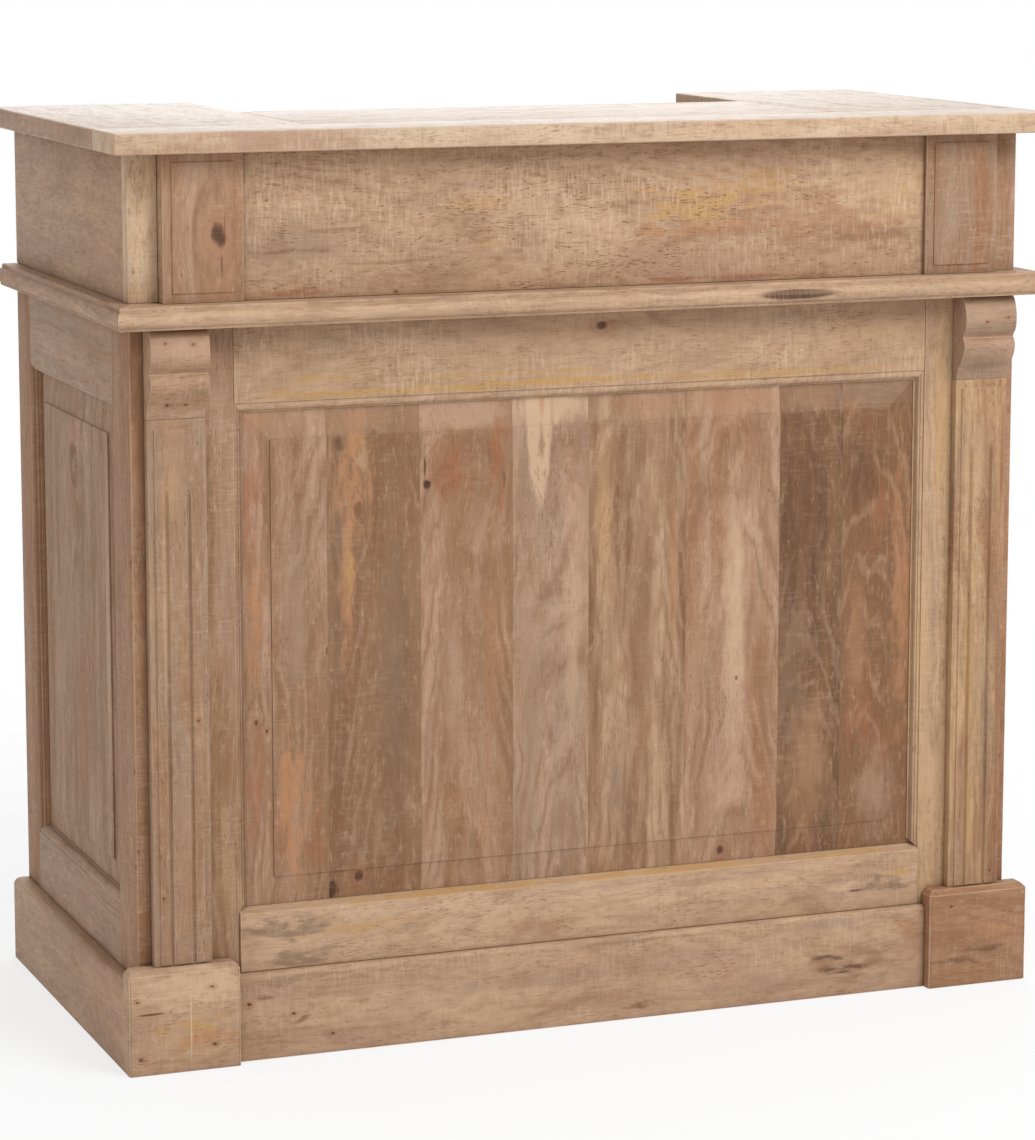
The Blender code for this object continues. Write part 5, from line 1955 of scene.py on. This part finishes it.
@dataclass
class Hinge:
    """A butt hinge: two leaves with screws, three knuckles and a pin."""

    side: int
    word: str
    spot: str
    screw_radius: float = 0.0026
    screw_inset: float = 0.00675
    screw_places: tuple[float, ...] = (0.16, 0.5, 0.84)
    head_lift: float = 0.00015
    leaf: float = 0.0011
    screw_tone: str = "9A7C4C"

    def build(self) -> None:
        """Dress both leaves and set their screws."""
        for part, body in (("frame", Body.CARCASS), ("door", Body[self.word.upper() + "_DOOR"])):
            node = "hinge_%s_leaf_%s_%s" % (part, self.word, self.spot)
            repaint(node, AgedBrass(node))
            self._screws(part, body, node)

    def _screws(self, part: str, body: Body, node: str) -> None:
        """Three screw heads on one leaf's inner face.

        Args:
            part: frame or door, the piece that the leaf is screwed to.
            body: the body that it moves with.
            node: the leaf's name.
        """
        low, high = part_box(node)
        if part == "frame":
            plane = self.side * (max(abs(low.x), abs(high.x)) - self.leaf)
            way = -self.side
        else:
            plane = self.side * (min(abs(low.x), abs(high.x)) + self.leaf)
            way = self.side
        y = low.y + self.screw_inset
        section = [(0.0, 0.0), (self.screw_radius, 0.0),
                   (self.screw_radius * 0.8, self.head_lift * 0.7), (0.0, self.head_lift)]
        for number, share in enumerate(self.screw_places, 1):
            z = low.z + (high.z - low.z) * share
            points = [(plane + way * h, y + r, z) for r, h in section]
            head = Workpiece.lathe("%s_screw_%d" % (node, number), points, (plane, y, z), (1, 0, 0), 20)
            head.dress(AgedBrass(head.shape.name, self.screw_tone), body=body, slot=Slot.BRASS)


@dataclass
class Door:
    """A framed cupboard door with a raised panel, hung at the cabinet's side."""

    side: int
    word: str
    stile: float = 0.056
    rail: float = 0.070
    sticking: Sticking = Sticking(0.009, 0.007)
    bevel: float = 0.026
    joint_gap: float = 0.0002
    stave_ease: float = 0.0004
    stave_joints: tuple[float, ...] = (0.36, 0.69)

    def build(self) -> None:
        """Make the members, panel, knob and hinges and dress them."""
        body = Body[self.word.upper() + "_DOOR"]
        node = "door_frame_" + self.word
        low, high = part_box(node)
        face = Face(high.y, Vector((1, 0, 0)), Vector((0, -1, 0)))
        outer = (low.x, high.x, low.z, high.z)
        opening = (low.x + self.stile, high.x - self.stile, low.z + self.rail, high.z - self.rail)
        framed = FramedPanel(self.word, face, outer, opening, high.y - low.y, self.sticking, self.bevel)
        for number, (place, member) in enumerate(framed.members(node).items()):
            upright = place in ("low", "high")
            wood = MangoWood(member.shape.name, Grain.UPRIGHT if upright else Grain.ACROSS,
                             220 + 5 * number + self.side, TAN, PINKISH, STRAW,
                             0.35, 0.35, saw=0.35)
            member.dress(wood, node, body=body)
        self._panel(framed, body)
        Knob("door_knob_" + self.word, body).build()
        for spot in ("lower", "upper"):
            Hinge(self.side, self.word, spot).build()

    def _panel(self, framed: FramedPanel, body: Body) -> None:
        """The raised panel, sawn into three staves.

        Args:
            framed: the frame round it.
            body: the body that it moves with.
        """
        node = "door_panel_" + self.word
        whole = framed.panel(node + "_whole")
        o0, o1 = framed.opening[:2]
        joints = [o0 + (o1 - o0) * share for share in self.stave_joints]
        tones = ((PINKISH, TAN), (TAN, GREYED), (BROWN, PINKISH))
        woods = [MangoWood("door_stave_%s_%d" % (self.word, number + 1), Grain.UPRIGHT,
                           240 + 7 * number + self.side, *pair, ORANGE, 0.35, 0.35, saw=0.3,
                           figure=0.35)
                 for number, pair in enumerate(tones)]
        whole.saw_staves(woods, joints, framed.face.across, self.joint_gap, self.stave_ease, node,
                         body)


@dataclass
class Drawer:
    """A wing drawer: front, four walls and a bottom let into them."""

    side: int
    word: str
    wall: float = 0.010
    bottom: float = 0.006
    groove: float = 0.002
    front_ease: float = 0.0018
    ease: float = 0.0012

    def build(self) -> None:
        """Make the boards and dress them."""
        body = Body[self.word.upper() + "_DRAWER"]
        node = "drawer_front_" + self.word
        front = Workpiece.block(node + "_planed", *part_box(node))
        front.soften(self.front_ease, 3)
        wood = MangoWood(node, Grain.ACROSS, 260 + self.side, TAN, CREAM, STRAW, 0.35, 0.3, saw=0.4)
        front.dress(wood, node, body=body)
        self._tray(body)
        Knob("drawer_knob_" + self.word, body).build()

    def _tray(self, body: Body) -> None:
        """Two long sides, two ends between them and a bottom between all four.

        Args:
            body: the body that it moves with.
        """
        node = "drawer_tray_" + self.word
        low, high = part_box(node)
        inner_low = Vector((low.x + self.wall, low.y + self.wall, low.z))
        inner_high = Vector((high.x - self.wall, high.y - self.wall, high.z))
        level = low.z + self.groove
        boards = {
            "side_low": (low, (inner_low.x, high.y, high.z), Grain.SIDE_BACKWARD),
            "side_high": ((inner_high.x, low.y, low.z), high, Grain.SIDE_BACKWARD),
            "end_near": ((inner_low.x + TOUCH, low.y, low.z),
                         (inner_high.x - TOUCH, inner_low.y, high.z), Grain.ACROSS),
            "end_far": ((inner_low.x + TOUCH, inner_high.y, low.z),
                        (inner_high.x - TOUCH, high.y, high.z), Grain.ACROSS),
            "bottom": ((inner_low.x + TOUCH, inner_low.y + TOUCH, level),
                       (inner_high.x - TOUCH, inner_high.y - TOUCH, level + self.bottom),
                       Grain.FLAT_BACKWARD),
        }
        for number, (word, (one, other, grain)) in enumerate(boards.items()):
            board = Workpiece.block("drawer_%s_%s" % (word, self.word), one, other)
            board.soften(self.ease)
            wood = MangoWood(board.shape.name, grain, 270 + 6 * number + self.side, INNER,
                             STRAW, TAN, 0.3, 0.15, saw=0.1, figure=0.3, pores=0.4)
            board.dress(wood, node, body=body, slot=Slot.INNER)


@dataclass
class Inside:
    """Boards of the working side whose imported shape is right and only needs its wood."""

    def build(self) -> None:
        """Give each board its finish."""
        boards = {
            "worktop": (Grain.FLAT_ACROSS, PALE, TAN, 0.55),
            "bottom_board": (Grain.FLAT_ACROSS, INNER, TAN, 0.15),
            "back_baseboard": (Grain.ACROSS, TAN, PINKISH, 0.35),
            "partition_left": (Grain.SIDE_UPRIGHT, INNER, STRAW, 0.15),
            "partition_right": (Grain.SIDE_UPRIGHT, INNER, TAN, 0.15),
            "centre_shelf": (Grain.FLAT_ACROSS, INNER, STRAW, 0.15),
        }
        for number, (node, (grain, base, second, saw)) in enumerate(boards.items()):
            repaint(node, MangoWood(node, grain, 300 + 9 * number, base, second, STRAW, 0.3,
                                    0.2, saw=saw, figure=0.3, pores=0.5))


@dataclass
class Studio:
    """Pale floor, soft lamps, white surroundings and the camera at the photograph's angle."""

    photo_height_px: int = 1140
    focal_px: float = 3889.6
    sensor_mm: float = 36.0
    shift: float = -0.06
    place: tuple[float, float, float] = (-1.7466, -4.5571, 1.3830)
    yaw: float = 0.3659
    pitch: float = 0.1564
    floor_size: float = 30.0
    floor_gap: float = 0.0005
    floor_colour: tuple[float, ...] = (0.92, 0.93, 0.94, 1.0)
    floor_glow: float = 0.72
    ambient: float = 0.50
    floor_near: float = 0.9
    floor_far: float = 2.6
    aim: tuple[float, float, float] = (0.0, 0.0, 0.6)

    def build(self) -> None:
        """Set up everything that isn't part of the object."""
        bpy.context.scene.view_settings.view_transform = "Standard"
        self._camera()
        self._world()
        self._floor()
        self._lamp("key", (1.6, -3.2, 3.6), 2.4, 135)
        self._lamp("overhead", (0.2, 0.6, 3.8), 3.0, 14)
        self._lamp("fill", (-3.6, -2.6, 1.8), 2.6, 30)
        self._lamp("rear", (1.2, 4.2, 2.4), 2.6, 78)

    def _camera(self) -> None:
        """A long lens, a little below the counter's edge line."""
        data = bpy.data.cameras.new("photo_camera")
        data.lens = self.focal_px / self.photo_height_px * self.sensor_mm
        data.sensor_width = self.sensor_mm
        data.shift_y = self.shift
        camera = bpy.data.objects.new("photo_camera", data)
        camera.location = self.place
        camera.rotation_euler = (math.pi / 2 - self.pitch, 0.0, -self.yaw)
        bpy.context.scene.collection.objects.link(camera)
        bpy.context.scene.camera = camera

    def _shown(self, graph: Graph) -> Socket:
        """One for rays that come straight, by a mirror or through glass to the camera.

        Args:
            graph: the nodes that it goes into.

        Returns:
            The value.
        """
        path = graph.add("LightPath", {}, out=None)
        seen = graph.add("Math", {0: path["Is Camera Ray"], 1: path["Is Glossy Ray"]}, operation="MAXIMUM")
        return graph.add("Math", {0: seen, 1: path["Is Transmission Ray"]}, operation="MAXIMUM")

    def _world(self) -> None:
        """White to the eye and an even soft light for the object."""
        world = bpy.data.worlds.new("studio")
        bpy.context.scene.world = world
        world.use_nodes = True
        world.node_tree.nodes.clear()
        graph = Graph(world.node_tree)
        soft = graph.add("Background", {"Color": WHITE, "Strength": self.ambient})
        white = graph.add("Background", {"Color": WHITE, "Strength": 1.0})
        both = graph.add("MixShader", {0: self._shown(graph), 1: soft, 2: white})
        graph.add("OutputWorld", {0: both}, out=None)

    def _floor(self) -> None:
        """A plain white floor that keeps the object's shadow."""
        bpy.ops.object.select_all(action="DESELECT")
        bpy.ops.mesh.primitive_plane_add(size=self.floor_size, location=(0, 0, -self.floor_gap))
        floor = bpy.context.object
        floor.name = "studio_floor"
        bpy.ops.object.transform_apply(location=True, rotation=True, scale=True)
        material = bpy.data.materials.new("studio_floor")
        material.use_nodes = True
        material.node_tree.nodes.clear()
        graph = Graph(material.node_tree)
        matte = graph.add("BsdfDiffuse", {"Color": self.floor_colour})
        glow = graph.add("Emission", {"Color": WHITE, "Strength": 1.0})
        spot = graph.add("TexCoord", {}, out=3)
        away = graph.add("VectorMath", {0: spot}, out=1, operation="LENGTH")
        even = graph.add("MapRange", {0: away, 1: self.floor_near, 2: self.floor_far,
                                      3: self.floor_glow, 4: 1.0},
                         interpolation_type="SMOOTHSTEP")
        share = graph.add("Math", {0: self._shown(graph), 1: even}, operation="MULTIPLY")
        both = graph.add("MixShader", {0: share, 1: matte, 2: glow})
        graph.add("OutputMaterial", {0: both}, out=None)
        floor.data.materials.append(material)

    def _lamp(self, name: str, place: tuple[float, float, float], size: float, power: float) -> None:
        """A square soft box aimed at the cabinet's middle.

        Args:
            name: the lamp's name.
            place: where it hangs, in metres.
            size: its edge, in metres.
            power: in watts.
        """
        data = bpy.data.lights.new(name, "AREA")
        data.size = size
        data.energy = power
        lamp = bpy.data.objects.new(name, data)
        lamp.location = place
        aim = Vector(self.aim) - Vector(place)
        lamp.rotation_euler = aim.to_track_quat("-Z", "Y").to_euler()
        bpy.context.scene.collection.objects.link(lamp)


def main() -> None:
    """Build the cabinet's sub-assemblies in order, then the studio."""
    logging.basicConfig(level=logging.INFO, format="%(message)s")
    parts = [Counter(), UpperBox(), Cornice(), FrontFrame(), FrontPanel(), Base(), Inside()]
    for side, word in SIDES:
        parts += [Pilaster(side, word), Corbel(word), SideFrame(side, word), Door(side, word),
                  Drawer(side, word)]
    for part in parts:
        part.build()
    Studio().build()


if __name__ == "__main__":
    main()
